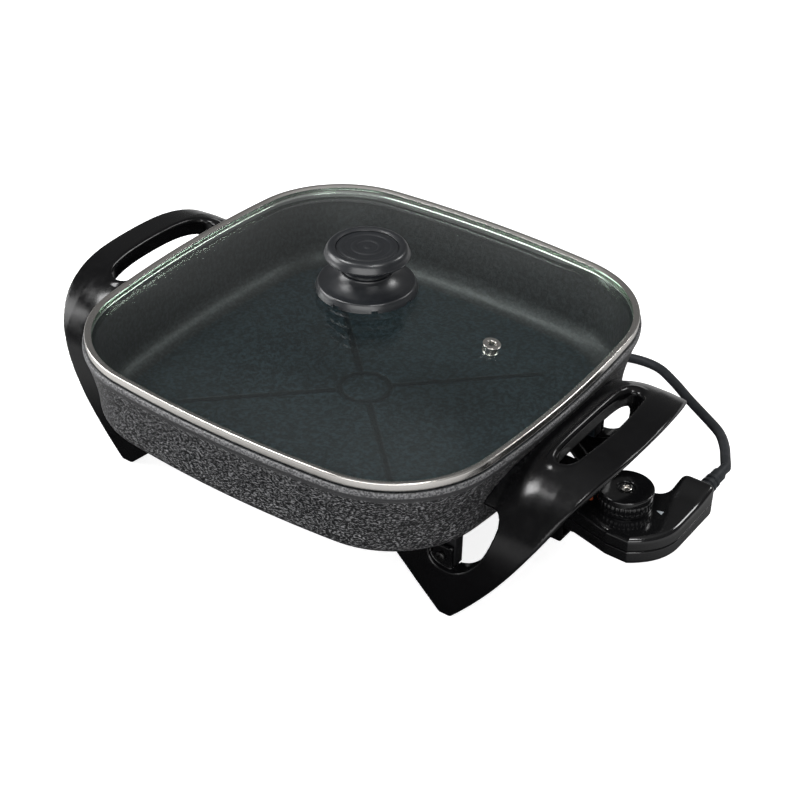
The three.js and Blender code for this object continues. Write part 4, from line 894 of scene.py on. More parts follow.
band_profile = rounded([
    (band_width, lid_seat + steel_sheet / 2),
    (band_width, lid_seat),
    (0, lid_seat),
    (0, lid_top),
    (band_width * 0.5, lid_top),
    (band_width, lid_top - band_slope),
    (band_width - 0.4, lid_top - band_slope),
    (band_width / 2, lid_top - steel_sheet),
    (steel_sheet, lid_top - steel_sheet),
    (steel_sheet, lid_seat + steel_sheet),
    (band_width, lid_seat + steel_sheet),
], 2.6, 8)
mesh_piece("lid_band", *swept([(*row, 1) for row in band_profile], True), steel, "lid", "lid_rim")

vent_reach = 96
vent_share = vent_reach / dome_reach
vent_lean = math.atan(3 * dome_rise * vent_share ** 2 / dome_reach)
vent_place = (vent_reach, 0, dome(vent_share) - glass_thickness / 2)
vent_profile = rounded([
    (2.6, 0),
    (2.6, -3.1),
    (5.2, -3.1),
    (5.2, -2.5),
    (4.6, -2.5),
    (4.6, 2.5),
    (5.8, 2.5),
    (5.8, 3.3),
    (2.6, 3.3),
    (2.6, 0.1),
], 0.7)
vent_way = (math.sin(vent_lean), 0, math.cos(vent_lean))
turned_piece("vent", vent_profile, vent_place, steel, "lid", "vent_grommet", vent_way)
print("lid", len(glass_lid.data.polygons), "faces of glass")

# %% [markdown]
# ## Knob
#
# The knob is three phenolic mouldings: a flared collar that keeps the hand off the hot glass, with eight
# steam notches in its foot, the grip disc on its neck, and a ringed cap that hides the screw.

# %%
knob_seat, grip_seat, cap_seat = 142.4, 156.2, 170.6
notches, notch_half, notch_depth, notch_height, collar_radius = 8, 1.75, 3.5, 1.8, 33.5


def notched(radius, height, angles):
    """Rings low on the collar step in at each notch."""
    to_notch = np.abs((angles + math.pi / notches) % (2 * math.pi / notches) - math.pi / notches)
    inside = (to_notch * collar_radius < notch_half) & (height < notch_height)
    return np.where(inside, np.minimum(radius, collar_radius - notch_depth), radius)


collar_side = rounded([
    (collar_radius - 1.5, 0),
    (collar_radius, 0),
    (collar_radius - 0.5, notch_height - 0.05),
], 0.5, 3)
collar_top = rounded([
    (collar_radius - 0.5, notch_height + 0.05),
    (collar_radius - 2, 5.5),
    (collar_radius - 4, 5.8),
], 1, 4)
flare = flowing([(29.5, 5.85), (27, 6.5), (23, 8.2), (19.6, 10.4), (17.4, 12.6), (17, 13.5)], 4)
collar_profile = np.vstack([[(0, 0)], collar_side, collar_top, flare, [(0, 13.5)]])

grip_side = [(15.7, 0), (15.8, 2.2), (17.6, 4.8), (22.6, 7.7), (26.6, 9.7), (27.7, 11.2)]
grip_side += [(27, 13.2), (26.2, 15.2), (24.9, 16.8), (23.2, 17.4), (21.3, 16.9)]
grip_top = rounded([(21, 16.6), (20.3, 16.4), (20.3, 14.1), (0.1, 14.1)], 0.4)
grip_profile = np.vstack([[(0, 0)], flowing(grip_side, 5), grip_top, [(0, 14.1)]])

cap_radius, cap_top, ring_rise, ring_pitch = 20, 2.2, 0.6, 8
cap_reach = np.linspace(cap_radius - 0.4, 0.5, 60)
ripple = np.clip(np.cos(2 * math.pi * (cap_reach / ring_pitch - 0.08)), 0, 1) ** 0.6
cap_profile = np.vstack([
    [(0, 0), (cap_radius, 0), (cap_radius, cap_top - ring_rise - 0.3)],
    np.column_stack([cap_reach, cap_top - ring_rise * (1 - ripple)]),
    [(0, cap_top)],
])
for name, profile, seat, replaced, more in (
    ("knob_collar", collar_profile, knob_seat, "knob_base", {"steps": 384, "shape": notched}),
    ("knob_handle", grip_profile, grip_seat, "knob_grip", {"steps": 128}),
    ("knob_disc", cap_profile, cap_seat, "knob_cap", {"steps": 128}),
):
    turned_piece(name, profile, (0, 0, seat), satin_phenolic, "lid", replaced, slot="phenolic", **more)


def flat_ring(low, high, reach, edge, bore=2.8):
    """Profile of a flat ring round the knob's screw. It starts and ends on the wall of the bore."""
    corners = [(bore, low + 0.6), (bore, low), (reach, low), (reach, high), (bore, high), (bore, low + 0.7)]
    return rounded(corners, edge)


turned_piece("seal_ring", flat_ring(136.3, 137.8, 14, 0.6), (0, 0, 0), rubber, "lid", "knob_seal")
turned_piece("washer", flat_ring(134.8, 136, 12, 0.3), (0, 0, 0), steel, "lid", "knob_washer")
print("knob done")

# %% [markdown]
# ## Mouldings as fields
#
# Handles, housing and socket guard are shells with windows, slots and ribs, whose edges are all rounded.
# Each is written as a field: cuts and joins are the larger or smaller of two fields, and a soft larger or
# smaller leaves a rounded edge of about the given radius. The field is sampled on a grid, one point is put
# in every cell that its surface crosses, and each point is then moved onto the surface along the field's
# slope, which also gives the exact normals for clean reflections.

# %%
def soft_max(a, b, radius):
    """The larger of two fields, with the edge between them rounded."""
    overlap = np.maximum(radius - np.abs(a - b), 0)
    return np.maximum(a, b) + overlap ** 2 / (4 * radius)


def soft_min(a, b, radius):
    return -soft_max(-a, -b, radius)


def box_field(x, y, z, x_range, y_range, z_range, radius=0):
    """Distance to a block, with edges rounded by a radius."""
    spans = []
    for value, (low, high) in ((x, x_range), (y, y_range), (z, z_range)):
        spans.append(np.abs(value - (low + high) / 2) - (high - low) / 2 + radius)
    outside = np.sqrt(sum(np.maximum(span, 0) ** 2 for span in spans))
    return outside + np.minimum(np.maximum(np.maximum(spans[0], spans[1]), spans[2]), 0) - radius


def shape_field(u, v, corners):
    """Distance to a closed flat shape, negative inside."""
    corners = np.asarray(corners, float)
    nearest = np.full(np.broadcast(u, v).shape, np.inf)
    inside = np.zeros(nearest.shape, bool)
    for a, b in zip(corners, np.roll(corners, -1, axis=0)):
        edge = b - a
        if not edge.any():
            continue
        share = np.clip(((u - a[0]) * edge[0] + (v - a[1]) * edge[1]) / (edge @ edge), 0, 1)
        nearest = np.minimum(nearest, np.hypot(u - a[0] - share * edge[0], v - a[1] - share * edge[1]))
        if edge[1]:
            crosses = ((a[1] > v) != (b[1] > v)) & (u < a[0] + edge[0] * (v - a[1]) / edge[1])
            inside ^= crosses
    return np.where(inside, -nearest, nearest)


def bend(*places, steps=16):
    """Points of a curve from the first place to the last, drawn towards the others, without its start."""
    share = np.linspace(0, 1, steps + 1)[1:, None]
    curves = [np.asarray(place, float) for place in places]
    while len(curves) > 1:
        curves = [(1 - share) * a + share * b for a, b in zip(curves, curves[1:])]
    return list(curves[0])

# %% [markdown]
# The mesh of a field has its corners on the surface and takes its normals from the field itself.

# %%
def slope(field, points, step=0.05):
    """How much the field grows per millimetre along each axis."""
    rows = []
    for axis in range(3):
        shift = np.zeros(3)
        shift[axis] = step
        rows.append((field(*(points + shift).T) - field(*(points - shift).T)) / (2 * step))
    return np.column_stack(rows)


def steps_back(places, others, i, j):
    """Cells i and j steps back from places on the grid, along the two axes that others names."""
    cells = places.copy()
    cells[:, others] -= (i, j)
    return cells


def field_mesh(field, low, high, cell):
    """Quads on the surface where a field is zero, with normals."""
    axes = [np.arange(a, b + cell, cell) for a, b in zip(low, high)]
    values = field(axes[0][:, None, None], axes[1][None, :, None], axes[2][None, None, :])
    inside = values < 0
    counts = [len(axis) - 1 for axis in axes]
    total, hits = np.zeros((*counts, 3)), np.zeros(counts)
    faces = []
    for axis in range(3):
        others = [other for other in range(3) if other != axis]
        first, second = [slice(None)] * 3, [slice(None)] * 3
        first[axis], second[axis] = slice(None, -1), slice(1, None)
        first, second = tuple(first), tuple(second)
        a, b = values[first], values[second]
        crossing = inside[first] != inside[second]
        place = np.argwhere(crossing)
        share = (a / (a - b + 1e-12))[crossing]
        point = place.astype(float)
        point[:, axis] += share
        for i, j in ((0, 0), (0, 1), (1, 0), (1, 1)):
            cube = steps_back(place, others, i, j)
            good = np.all((cube >= 0) & (cube < counts), axis=1)
            np.add.at(total, tuple(cube[good].T), point[good])
            np.add.at(hits, tuple(cube[good].T), 1)
        inner = np.all((place[:, others] > 0) & (place[:, others] < np.array(counts)[others]), axis=1)
        place, starts_inside = place[inner], inside[first][crossing][inner]
        ring = []
        for i, j in ((1, 1), (0, 1), (0, 0), (1, 0)):
            ring.append(np.ravel_multi_index(tuple(steps_back(place, others, i, j).T), counts))
        ring = np.column_stack(ring)
        forward = starts_inside if axis != 1 else ~starts_inside
        faces.append(np.where(forward[:, None], ring, ring[:, ::-1]))
    used = hits.ravel() > 0
    number = np.cumsum(used) - 1
    points = total.reshape(-1, 3)[used] / hits.ravel()[used][:, None]
    points = points * cell + low
    for _ in range(3):
        grade = slope(field, points)
        length = np.maximum((grade ** 2).sum(1), 0.05)
        step = np.clip(field(*points.T) / length, -cell / 2, cell / 2)
        points = points - grade * step[:, None]
    normals = slope(field, points)
    normals /= np.maximum(np.linalg.norm(normals, axis=1, keepdims=True), 1e-9)
    return points, number[np.vstack(faces)], normals


def field_piece(name, field, low, high, cell, material, body, replaced):
    """A piece from a field, sampled between two corners of a box."""
    points, faces, normals = field_mesh(field, np.array(low, float), np.array(high, float), cell)
    made = mesh_piece(name, points, faces.tolist(), material, body, replaced, normals)
    print(name, len(faces), "faces")
    return made

# %% [markdown]
# ## Handles
#
# One handle is a deep arched strap: a squarish arch seen from the side, cut to a leaning leg with a foot
# in front view, and to one wide arc in plan. The moulding is a 3.5 mm skin with turned-in edges and two
# ribs, so it is light and stays cool. A finger slot opens the top, with a low bead along its side towards
# the pan, and the left handle's slot reaches nearer to the pan. A window opens each leg beside the pan, and
# a pad behind each leg takes the screw. Places along x are measured from the pan's side.

# %%
arch_half, arch_height, arch_power = 96, 112.5, 3.5
crown_start, crown_width, crown_drop, droop = -1, 23, 6, 2.2
skin, flange, strap_depth, fit = 3.5, 3, 13, 0.3
foot_inner, foot_outer, leg_root, leg_cut = -27.7, -19, -91, -61
shoulder, bulge = (42.6, 91.4), 5.9
plan_radius, handle_reach = 256, 56.2
plan_centre = handle_reach - plan_radius
slot_reach, slot_half, slot_corner = 33, 54, 9
slot_inners = {"right": 15.8, "left": 10.5}
bead_away, bead_half, bead_height = 2.4, 2.6, 1


def arch_field(x, y, z, inset):
    """Distance to the arch, which rises to a crown beside the pan and droops outwards."""
    share = np.clip((x - crown_start) / crown_width, 0, 1)
    fall = crown_drop * (1 - share) ** 2
    fall = fall + droop * np.clip((x - slot_reach) / (handle_reach - slot_reach), 0, 1.2)
    half, height = arch_half - inset, arch_height - inset - fall
    wide, tall = np.abs(y) / half, np.maximum(z, 0) / height
    power = arch_power
    total = np.maximum(wide ** power + tall ** power, 1e-9)
    reach = total ** (1 / power)
    scale = total ** (1 / power - 1)
    grade = np.hypot(scale * wide ** (power - 1) / half, scale * tall ** (power - 1) / height)
    return np.clip((reach - 1) / np.maximum(grade, 1e-4), -60, 60)


top = arch_height + strap_depth
leg_lean = (foot_inner - leg_root) / pan_underside
front_shape = [(foot_inner, 0), (foot_outer, 0)]
front_shape += bend(
    front_shape[-1],
    ((foot_outer + shoulder[0]) / 2 + bulge, shoulder[1] / 2 - bulge),
    shoulder,
)
front_shape += [(handle_reach + strap_depth, top), (leg_cut, top)]
front_shape += [(leg_cut, (foot_inner - leg_cut) / leg_lean)]

window_left, window_right, window_lowest = -38, 5.5, -24
window_bottom, window_side, window_top = 35, 76, 84
window_shape = [(window_left, 61), (window_left, window_bottom + strap_depth)]
window_shape += bend(window_shape[-1], (window_left, window_bottom), (window_lowest, window_bottom))
window_shape += bend(
    (window_lowest, window_bottom),
    ((window_lowest + window_right) / 2, window_bottom),
    (window_right - flange, (window_bottom + window_side) / 2 - flange),
    (window_right, window_side),
    steps=19,
)
window_shape += bend(
    (window_right, window_side),
    (window_right - 1, window_top),
    (window_right - 6, window_top),
    steps=6,
)
window_shape += [(crown_start - strap_depth, window_top)]


def slot_field(x, y, inner_side):
    """The finger slot in plan: a straight inner side and an outer side along the handle's edge."""
    outer = np.hypot(x - plan_centre, y) - (slot_reach - plan_centre)
    ends = np.abs(y) - slot_half
    return soft_max(soft_max(inner_side - x, outer, 2 * slot_corner), ends, 2 * slot_corner)


def bead(x, y, inner_side):
    """Height of the low bead that runs round the slot on its side towards the pan."""
    across = (slot_field(x, y, inner_side) - bead_away) / bead_half
    by_pan = np.clip((inner_side + 12 - x) / 8, 0, 1)
    return bead_height * by_pan * np.maximum(1 - across ** 2, 0) ** 2

# %% [markdown]
# The moulding clears the pan and its lugs by a small fit, so the pan's outer surface is written as a field
# too. Both handles are one field, and the left one is its mirror with a slot of its own.

# %%
def pan_inset(z):
    """How far the pan's outer surface stands in from the outline, below the lip and at it."""
    foot = foot_inset + foot_radius - np.sqrt(np.maximum(foot_radius ** 2 - (foot_height - z) ** 2, 0))
    lip = lip_out * np.clip((z - wall_top) / lip_band, 0, 1)
    return np.where(z < foot_height, foot, wall_inset(z) - lip)


def pan_field(x, y, z):
    """Distance to the pan's outer surface, which is taken as open above the rim."""
    height = np.maximum(z, pan_underside)
    return np.maximum(out_of_outline(x, y) + pan_inset(height), pan_underside - z)


screw_x, screw_z, rib_place, rib_half = lug_x - outline_half, 42.5, 62, 1.25
pad_span, pad_faces, pad_heights = (screw_x - lug_half, screw_x + lug_half), (89.3, 92.8), (lug_foot, 51)
lug_room = [
    (screw_x - lug_half - fit, screw_x + lug_half + fit),
    (lug_y - lug_depth - fit, lug_y + lug_depth + fit),
    (lug_foot - fit, 73),
]


def handle_field(x, y, z, inner_side):
    """A skin round the arch, less window and slot, with ribs and pads, and clear of the pan and its lugs."""
    x, wide = x - outline_half, np.abs(y)
    trim = soft_max(shape_field(x, z, front_shape), np.hypot(x - plan_centre, y) - plan_radius, 3)
    window = shape_field(x, z, window_shape)
    slot = soft_max(slot_field(x, y, inner_side), arch_height - 2 * strap_depth - z, 1)
    pan_side = pan_field(x + outline_half, y, z)
    strap = soft_max(arch_field(x, y, z, 0) - bead(x, y, inner_side), trim, 2)
    for cut, edge in ((arch_field(x, y, z, strap_depth), 1.2), (window, 1.6), (slot, 3.5)):
        strap = soft_max(strap, -cut, edge)
    ribs = np.abs(wide - rib_place) - rib_half
    hollow = soft_max(arch_field(x, y, z, skin), trim + flange, 1)
    for kept in (flange - z, flange - window, flange - slot, flange + fit - pan_side, -ribs):
        hollow = soft_max(hollow, kept, 1)
    pad = box_field(x, wide, z, pad_span, pad_faces, pad_heights, 1)
    body = soft_min(soft_max(strap, -hollow, 1), pad, 1)
    body = soft_max(body, -box_field(x, wide, z, *lug_room, 0.3), 0.4)
    return soft_max(body, fit - pan_side, 0.8)


handle_span, handle_half, handle_heights, handle_cell = (90, 214), 99, (-1.5, 115), 1.5
for name, side in (("right", 1), ("left", -1)):
    near, far = sorted(side * x for x in handle_span)
    field_piece(
        f"handle_{name}",
        lambda x, y, z: handle_field(side * x, y, z, slot_inners[name]),
        (near, -handle_half, handle_heights[0]),
        (far, handle_half, handle_heights[1]),
        handle_cell,
        phenolic,
        "pan",
        f"{name}_handle",
    )

# %% [markdown]
# ## Heat control
#
# The housing is two glossy shells that meet in a fine parting line at half height. In plan it is an arm
# from the pan that widens to a rounded front and runs back in a short tail, whose top rises a little, to
# the lead. The nose goes into the guard's mouth. The shells are the same field, kept above or below the
# parting plane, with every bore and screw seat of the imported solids.

# %%
shell_bottom, shell_top, shell_split, shell_wall = 40, 60, 50, 1.8
arm_start, arm_half, front_start, front_end, front_y = 16, 22, 49, 64.5, -30
control_reach, tail_y, tail_inner, tail_rise = 83.5, 48, 60.5, 3
dial_x, lamp_place, relief_inset = 44.5, (24, -8), 72
boss_places, boss_radius, screw_bore, head_bore = [(40.9, 17), (52.6, -25), (72, 32)], 3.6, 1.7, 3.1
sleeve_bore, sleeve_stop, contact_bore, rod_bore = 4.3, 4.3, 1.8, 3.3
shaft_bore, lamp_bore, relief_bore = 3.3, 2.7, 6.3

housing_shape = [(arm_start, -arm_half), (front_start, front_y), (front_end, front_y)]
housing_shape += bend(housing_shape[-1], (control_reach, -16.5), (control_reach, 3))
housing_shape += [(control_reach, tail_y - 5.4)]
housing_shape += bend(housing_shape[-1], (control_reach, tail_y), (control_reach - 5.4, tail_y), steps=8)
housing_shape += [(tail_inner + 5.4, tail_y)]
housing_shape += bend(housing_shape[-1], (tail_inner, tail_y), (tail_inner, tail_y - 5.4), steps=8)
housing_shape += [(tail_inner, arm_half + 12)]
housing_shape += bend(housing_shape[-1], (tail_inner, arm_half), (tail_inner - 12, arm_half), steps=8)
housing_shape += [(arm_start, arm_half)]


def rod_field(a, b, radius, low, high, along):
    """Distance to a round bar about (a, b) = 0 between two places along it."""
    return np.maximum(np.hypot(a, b) - radius, np.maximum(low - along, along - high))


def housing_field(x, y, z):
    """Both shells in one: a hollow case with its nose and screw bosses, and a bore for all that goes in."""
    x = x - outline_half
    plan = shape_field(x, y, housing_shape)
    lift = np.clip((y - arm_half) / (tail_y - arm_half), 0, 1)
    top = shell_top + tail_rise * lift * lift * (3 - 2 * lift)
    case = soft_max(plan, np.maximum(z - top, shell_bottom - z), 4)
    nose = box_field(x, y, z, (-14, 22), (-19, 19), (36, 54), 2.5)
    body = soft_min(case, nose, 1.5)
    hollow = np.maximum(plan, np.maximum(z - top, shell_bottom - z)) + shell_wall
    from_boss = [np.hypot(x - boss_x, y - boss_y) for boss_x, boss_y in boss_places]
    for away in from_boss:
        hollow = np.maximum(hollow, boss_radius - away)
    body = np.maximum(body, -hollow)
    level = z - socket_height
    for side in (-1, 1):
        gate = y - side * element_gate
        body = soft_max(body, -rod_field(gate, level, sleeve_bore, -20, sleeve_stop, x), 0.8)
        body = np.maximum(body, -rod_field(gate, level, contact_bore, 4, 20, x))
    body = soft_max(body, -rod_field(y, level, rod_bore, -20, 20, x), 0.8)
    body = np.maximum(body, -rod_field(x - dial_x, y, shaft_bore, 56, 66, z))
    body = np.maximum(body, -rod_field(x - lamp_place[0], y - lamp_place[1], lamp_bore, 56, 66, z))
    body = soft_max(body, -rod_field(x - relief_inset, z - relief_z, relief_bore, 44, 52, y), 0.8)
    for away in from_boss:
        body = np.maximum(body, -rod_field(away, 0, screw_bore, 38, 56.7, z))
        body = soft_max(body, -rod_field(away, 0, head_bore, 38, 42.3, z), 0.5)
    return body


def half_shell(name, side, z_range):
    """The housing on one side of the parting plane: above it where side is 1, below it where side is -1."""
    field_piece(
        f"shell_{name}",
        lambda x, y, z: soft_max(housing_field(x, y, z), side * (shell_split - z) + fit / 2, 0.9),
        (139, -32, z_range[0]),
        (240.4, 50, z_range[1]),
        0.9,
        gloss_plastic,
        "heat_control",
        f"probe_{name}_shell",
    )


half_shell("upper", 1, (48.5, 65))
half_shell("lower", -1, (34, 51.5))

# %% [markdown]
# The guard is a phenolic hood screwed to the underside, which keeps fingers off the element's pins and
# guides the nose in. Its back wall has a hole for each pin and one for the sensor.

# %%
guard_half, guard_back, guard_mouth, guard_low, guard_high, guard_wall = 24, 134, 170, 29.5, 58.7, 3
guard_screw_x, guard_screw_y = 127, 17


def guard_field(x, y, z):
    """A hood that is open to the front, with a plate behind it for its two screws."""
    wide, inner = (-guard_half, guard_half), (guard_wall - guard_half, guard_half - guard_wall)
    hood = box_field(x, y, z, (guard_back, guard_mouth), wide, (guard_low, guard_high), 1.5)
    ceiling = guard_high - guard_wall
    room_x, room_z = (guard_back + guard_wall, guard_mouth + 9), (guard_low + guard_wall, ceiling)
    room = box_field(x, y, z, room_x, inner, room_z, 1.2)
    plate = box_field(x, y, z, (guard_back - 14, guard_back + guard_wall), wide, (ceiling, guard_high), 0.8)
    body = soft_min(soft_max(hood, -room, 0.8), plate, 1)
    for place, radius in ((0, 3.8), (element_gate, 3), (-element_gate, 3)):
        body = soft_max(body, -rod_field(y - place, z - socket_height, radius, 130, 140, x), 0.6)
    for side in (-1, 1):
        body = np.maximum(body, -rod_field(x - guard_screw_x, y - side * guard_screw_y, 2.1, 50, 62, z))
    return soft_max(body, fit - pan_field(x, y, z), 0.5)


field_piece("guard", guard_field, (118.5, -26, 28), (172, 26, 61), 1, phenolic, "pan", "socket_guard")

# %% [markdown]
# ## Dial, lamp and screws
#
# The dial's grip is a band of straight knurls between two smooth rims, with a screw sunk in the middle of
# its flat top.

# %%
dial_place = (outline_half + dial_x, 0, shell_top + fit)
dial_radius, knurls, knurl_depth = 17.6, 36, 0.7


def knurled(radius, height, angles):
    """Only the band between the rims has teeth."""
    if not 1.9 < height < 8.1:
        return np.full(len(angles), radius)
    tooth = np.clip(1.6 * np.cos(angles * knurls), -1, 1)
    return radius + knurl_depth * (tooth - 1) / 2


dial_profile = np.vstack([
    [(0, 0)],
    rounded([(12, 0), (dial_radius, 0), (dial_radius, 1.8)], 0.5),
    [(16.6, 1.85), (16.9, 2.1), (17.3, 2.6), (17.3, 7.4), (16.9, 7.9), (16.6, 8.15)],
    rounded([(dial_radius, 8.2), (dial_radius, 12.5), (5.6, 12.5), (5.6, 10.5), (4, 10.5)], 1),
    [(0, 10.5)],
])
turned_piece("dial_knob", dial_profile, dial_place, gloss_plastic, "dial", "dial", steps=288, shape=knurled)
print("dial with", knurls, "knurls")

# %% [markdown]
# All screws have a pan head with a cross recess, pressed a little deeper than its arms are wide. Three hold
# the housing, two the guard, one each leg, one the dial and one the knob. Those in the legs are painted
# dark:
# a painted shade for the shaded place that they sit in.

# %%
def screw(name, place, direction, head, shank, body, replaced, recess=0.9, material=steel):
    """A pan-head screw. place is under the head, direction points out of the head."""
    head_radius, head_height = head
    shank_radius, length = shank
    arm = head_radius * 0.16
    reach = np.linspace(head_radius * 0.97, 0.02, 14)
    crown = head_height * (1 - 0.35 * (reach / head_radius) ** 3)
    rows = [(0, -length), (shank_radius * 0.7, -length), (shank_radius, -length + shank_radius * 0.5)]
    rows += [(shank_radius, 0), (head_radius * 0.97, 0), (head_radius, 0.15)]
    rows += [(head_radius, head_height * 0.5), *zip(reach, crown)]
    points, faces = turned(rows, (0, 0, 0), steps=64)
    x, y, z = points.T
    cross = np.minimum(abs(x), abs(y))
    sunk = (z > head_height * 0.55) & (cross < arm) & (np.hypot(x, y) < head_radius * 0.62)
    points[sunk, 2] -= min(recess, head_height * 0.8)
    side, other, along = axes_of(direction)
    points = points @ np.array([side, other, along]) + place
    return crease(mesh_piece(name, points, faces, material, body, replaced, slot="steel"), 35)


dial_seat = (*dial_place[:2], dial_place[2] + 10.8)
screw("dial_fixing", dial_seat, (0, 0, 1), (3.6, 1.6), (1.5, 8), "dial", "dial_screw")
for number, (boss_x, boss_y) in enumerate(boss_places):
    screw(
        f"case_fixing_{number + 1}",
        (outline_half + boss_x, boss_y, 42),
        (0, 0, -1),
        (2.8, 2),
        (1.4, 14.4),
        "heat_control",
        f"shell_screw_{number + 1}",
    )
for side, end in both_ends:
    screw(
        f"guard_fixing_{end}",
        (guard_screw_x, side * guard_screw_y, 55.4),
        (0, 0, -1),
        (3.4, 2.2),
        (1.8, 6.5),
        "pan",
        f"guard_screw_{end}",
    )
leg_corners = [(1, -1), (1, 1), (-1, -1), (-1, 1)]
for number, (side, end) in enumerate(leg_corners):
    screw(
        f"leg_fixing_{number + 1}",
        (side * lug_x, end * 93.1, screw_z),
        (0, end, 0),
        (3.2, 2),
        (2, 12),
        "pan",
        f"handle_screw_{number + 1}",
        material=shaded_steel,
    )
screw("knob_fixing", (0, 0, 134.5), (0, 0, -1), (5.5, 3), (2.5, 34), "lid", "knob_screw", 1.4)
print("screws done")

# %% [markdown]
# The pilot lamp's lens is a small domed button. The control plugs on to the element's two pins with brass
# sleeves, and its sensor rod slides into the well between them.

# %%
lens_profile = [(0, 56.9), (3.4, 56.9), (3.4, 57.9), (2.4, 57.9), (2.4, 60)]
lens_profile += [(2.4 * math.cos(a), 60 + 0.8 * math.sin(a)) for a in np.radians([15, 30, 45, 60, 75])]
lens_profile += [(0, 60.8)]
lens_spot = (outline_half + lamp_place[0], lamp_place[1], 0)
turned_piece("lamp_window", lens_profile, lens_spot, lens_plastic, "heat_control", "lamp_lens")


def pin(name, start, end, radius, material, body, replaced, tip=0.8):
    """A round pin with a rounded end, from start to its tip."""
    along = np.subtract(end, start)
    length = np.linalg.norm(along)
    rows = [(0, 0), (radius * 0.9, 0), (radius, radius * 0.1)]
    for angle in np.radians(np.linspace(0, 90, 9)):
        rows.append((radius * math.cos(angle), length - radius * tip * (1 - math.sin(angle))))
    rows[-1] = (0, length)
    return turned_piece(name, rows, start, material, body, replaced, direction=along, steps=32)


def in_socket(x, side=0):
    """A place on the sensor's line, or on the line of the front or rear contact."""
    return (x, side * element_gate, socket_height)


pin("sensor_rod", in_socket(178.4), in_socket(76), 3, steel, "heat_control", "probe_rod", 1)
sleeve = rounded([(2.8, 8), (2.8, 0), (4, 0), (4, 17.7), (1.5, 17.7), (1.5, 37.1)], 0.4)
sleeve_profile = [(0, 15.9), (2.8, 15.9), *sleeve, (0, 37.1)]
for side, end in both_ends:
    ends = in_socket(130.3, side), in_socket(156.3, side)
    pin(f"element_pin_{end}", *ends, 2.4, steel, "pan", f"terminal_pin_{end}")
    sleeve_end = in_socket(141.3, side)
    name, replaced = f"socket_sleeve_{end}", f"contact_sleeve_{end}"
    turned_piece(name, sleeve_profile, sleeve_end, brass, "heat_control", replaced, (1, 0, 0), steps=32)
print("lamp, rod and contacts done")

# %% [markdown]
# ## Strain relief, tie and plug
#
# The strain relief is a rubber sleeve with four ribs that tapers to the lead, so that the lead bends
# gently. The tie is a rubber strap round the coil's far side. The plug is a plain one with two round
# pins: a moulded body with finger grooves that narrows to the lead.

# %%
relief_rows = [(0, 43.5), (7, 43.5), (7, 45.9), (6, 45.9), (6, 47.6)]
for rib in range(4):
    start = 49.5 + 5.4 * rib
    radius = 6 - 0.0483 * (start - 48)
    relief_rows += [(radius - 1.1, start), (radius, start), (radius, start + 3), (radius - 1.1, start + 3)]
relief_rows += [(4.6, 72), (4.6, 77), (0.5, 77)]
relief_profile = np.vstack([relief_rows[:1], rounded(relief_rows[1:], 0.6, 3), [(0, 77)]])
relief_start, lead_way = (relief_x, 0, relief_z), (0, 1, 0)
turned_piece(
    "lead_sleeve", relief_profile, relief_start, rubber, "heat_control", "strain_relief", lead_way, steps=48
)


def strap(y_range, z_range, half_width, thickness, corner=1.6):
    """A closed strap with rounded corners, round a rectangle in (y, z) at the coil's middle."""
    section = rounded([(0, 0.3), (0, 0), (1, 0), (1, 1), (0, 1), (0, 0.6)], 0.3, 3)
    rings = []
    for inwards, across in section:
        x = (2 * across - 1) * half_width + coil_middle[0]
        reach = corner + thickness * (1 - inwards)
        rings.append([(x, *place) for place in corner_arcs(y_range, z_range, corner, reach)])
    return np.vstack(rings), grid_faces(len(rings), len(rings[0]), True)


tie = strap((258.6, 274.8), (0.8, 16), 4.5, 0.8)
lead_tie = mesh_piece("lead_tie", *tie, rubber, "heat_control", "cord_tie")

plug_y, plug_end, plug_front, plug_back = coil_start_y, -71.3, -117.3, -83.3
plug_shape = [(plug_front, -13)]
plug_shape += bend(plug_shape[-1], (plug_front + 17, -12.5), (plug_front + 24, -7.5), steps=8)
plug_shape += bend(plug_shape[-1], (plug_back - 5, -5), (plug_back, -5), steps=6)
plug_shape += [(x, -y) for x, y in reversed(plug_shape)]


def plug_field(x, y, z):
    """A flat body with three finger grooves on each face, and a round tail that takes the lead."""
    side = y - plug_y
    body = soft_max(shape_field(x, side, plug_shape), np.abs(z - plug_height) - 7, 5)
    tail = np.maximum(np.hypot(side, z - plug_height) - 5, np.maximum(x - plug_end, plug_back - 6 - x))
    body = soft_min(body, tail, 2)
    for groove in range(3):
        middle = plug_front + 10 + 4.5 * groove
        body = soft_max(body, 1 - np.hypot(x - middle, np.abs(z - plug_height) - 7.4), 0.6)
    return body


plug_case = field_piece(
    "plug_case", plug_field, (-119, 174, -1), (-70, 204, 16), 0.9, rubber, "heat_control", "plug_body"
)
for side, end in both_ends:
    inner, tip = ((x, plug_y + side * 9.5, plug_height) for x in (plug_front + 5, plug_front - 19))
    pin(f"plug_prong_{end}", inner, tip, 2, steel, "heat_control", f"plug_pin_{end}")

to_frame(lead_exit)

# %% [markdown]
# A small pale triangle beside the dial is the mark that the dial is set against.

# %%
mark_corners = [(219.2, 5.2), (223.4, 7.0), (223.4, 3.4)]
mark_points = [(x, y, z) for z in (shell_top - 0.3, shell_top + 0.08) for x, y in mark_corners]
mark_faces = [(0, 1, 2), (5, 4, 3), (0, 3, 4, 1), (1, 4, 5, 2), (2, 5, 3, 0)]
paint = moulding("paint", (0.36, 0.40, 0.43), (0.46, 0.50, 0.53), 0.5, 0.35)
crease(mesh_piece("dial_mark", mark_points, mark_faces, paint, "heat_control", slot="housing"), 20)
print("control done")
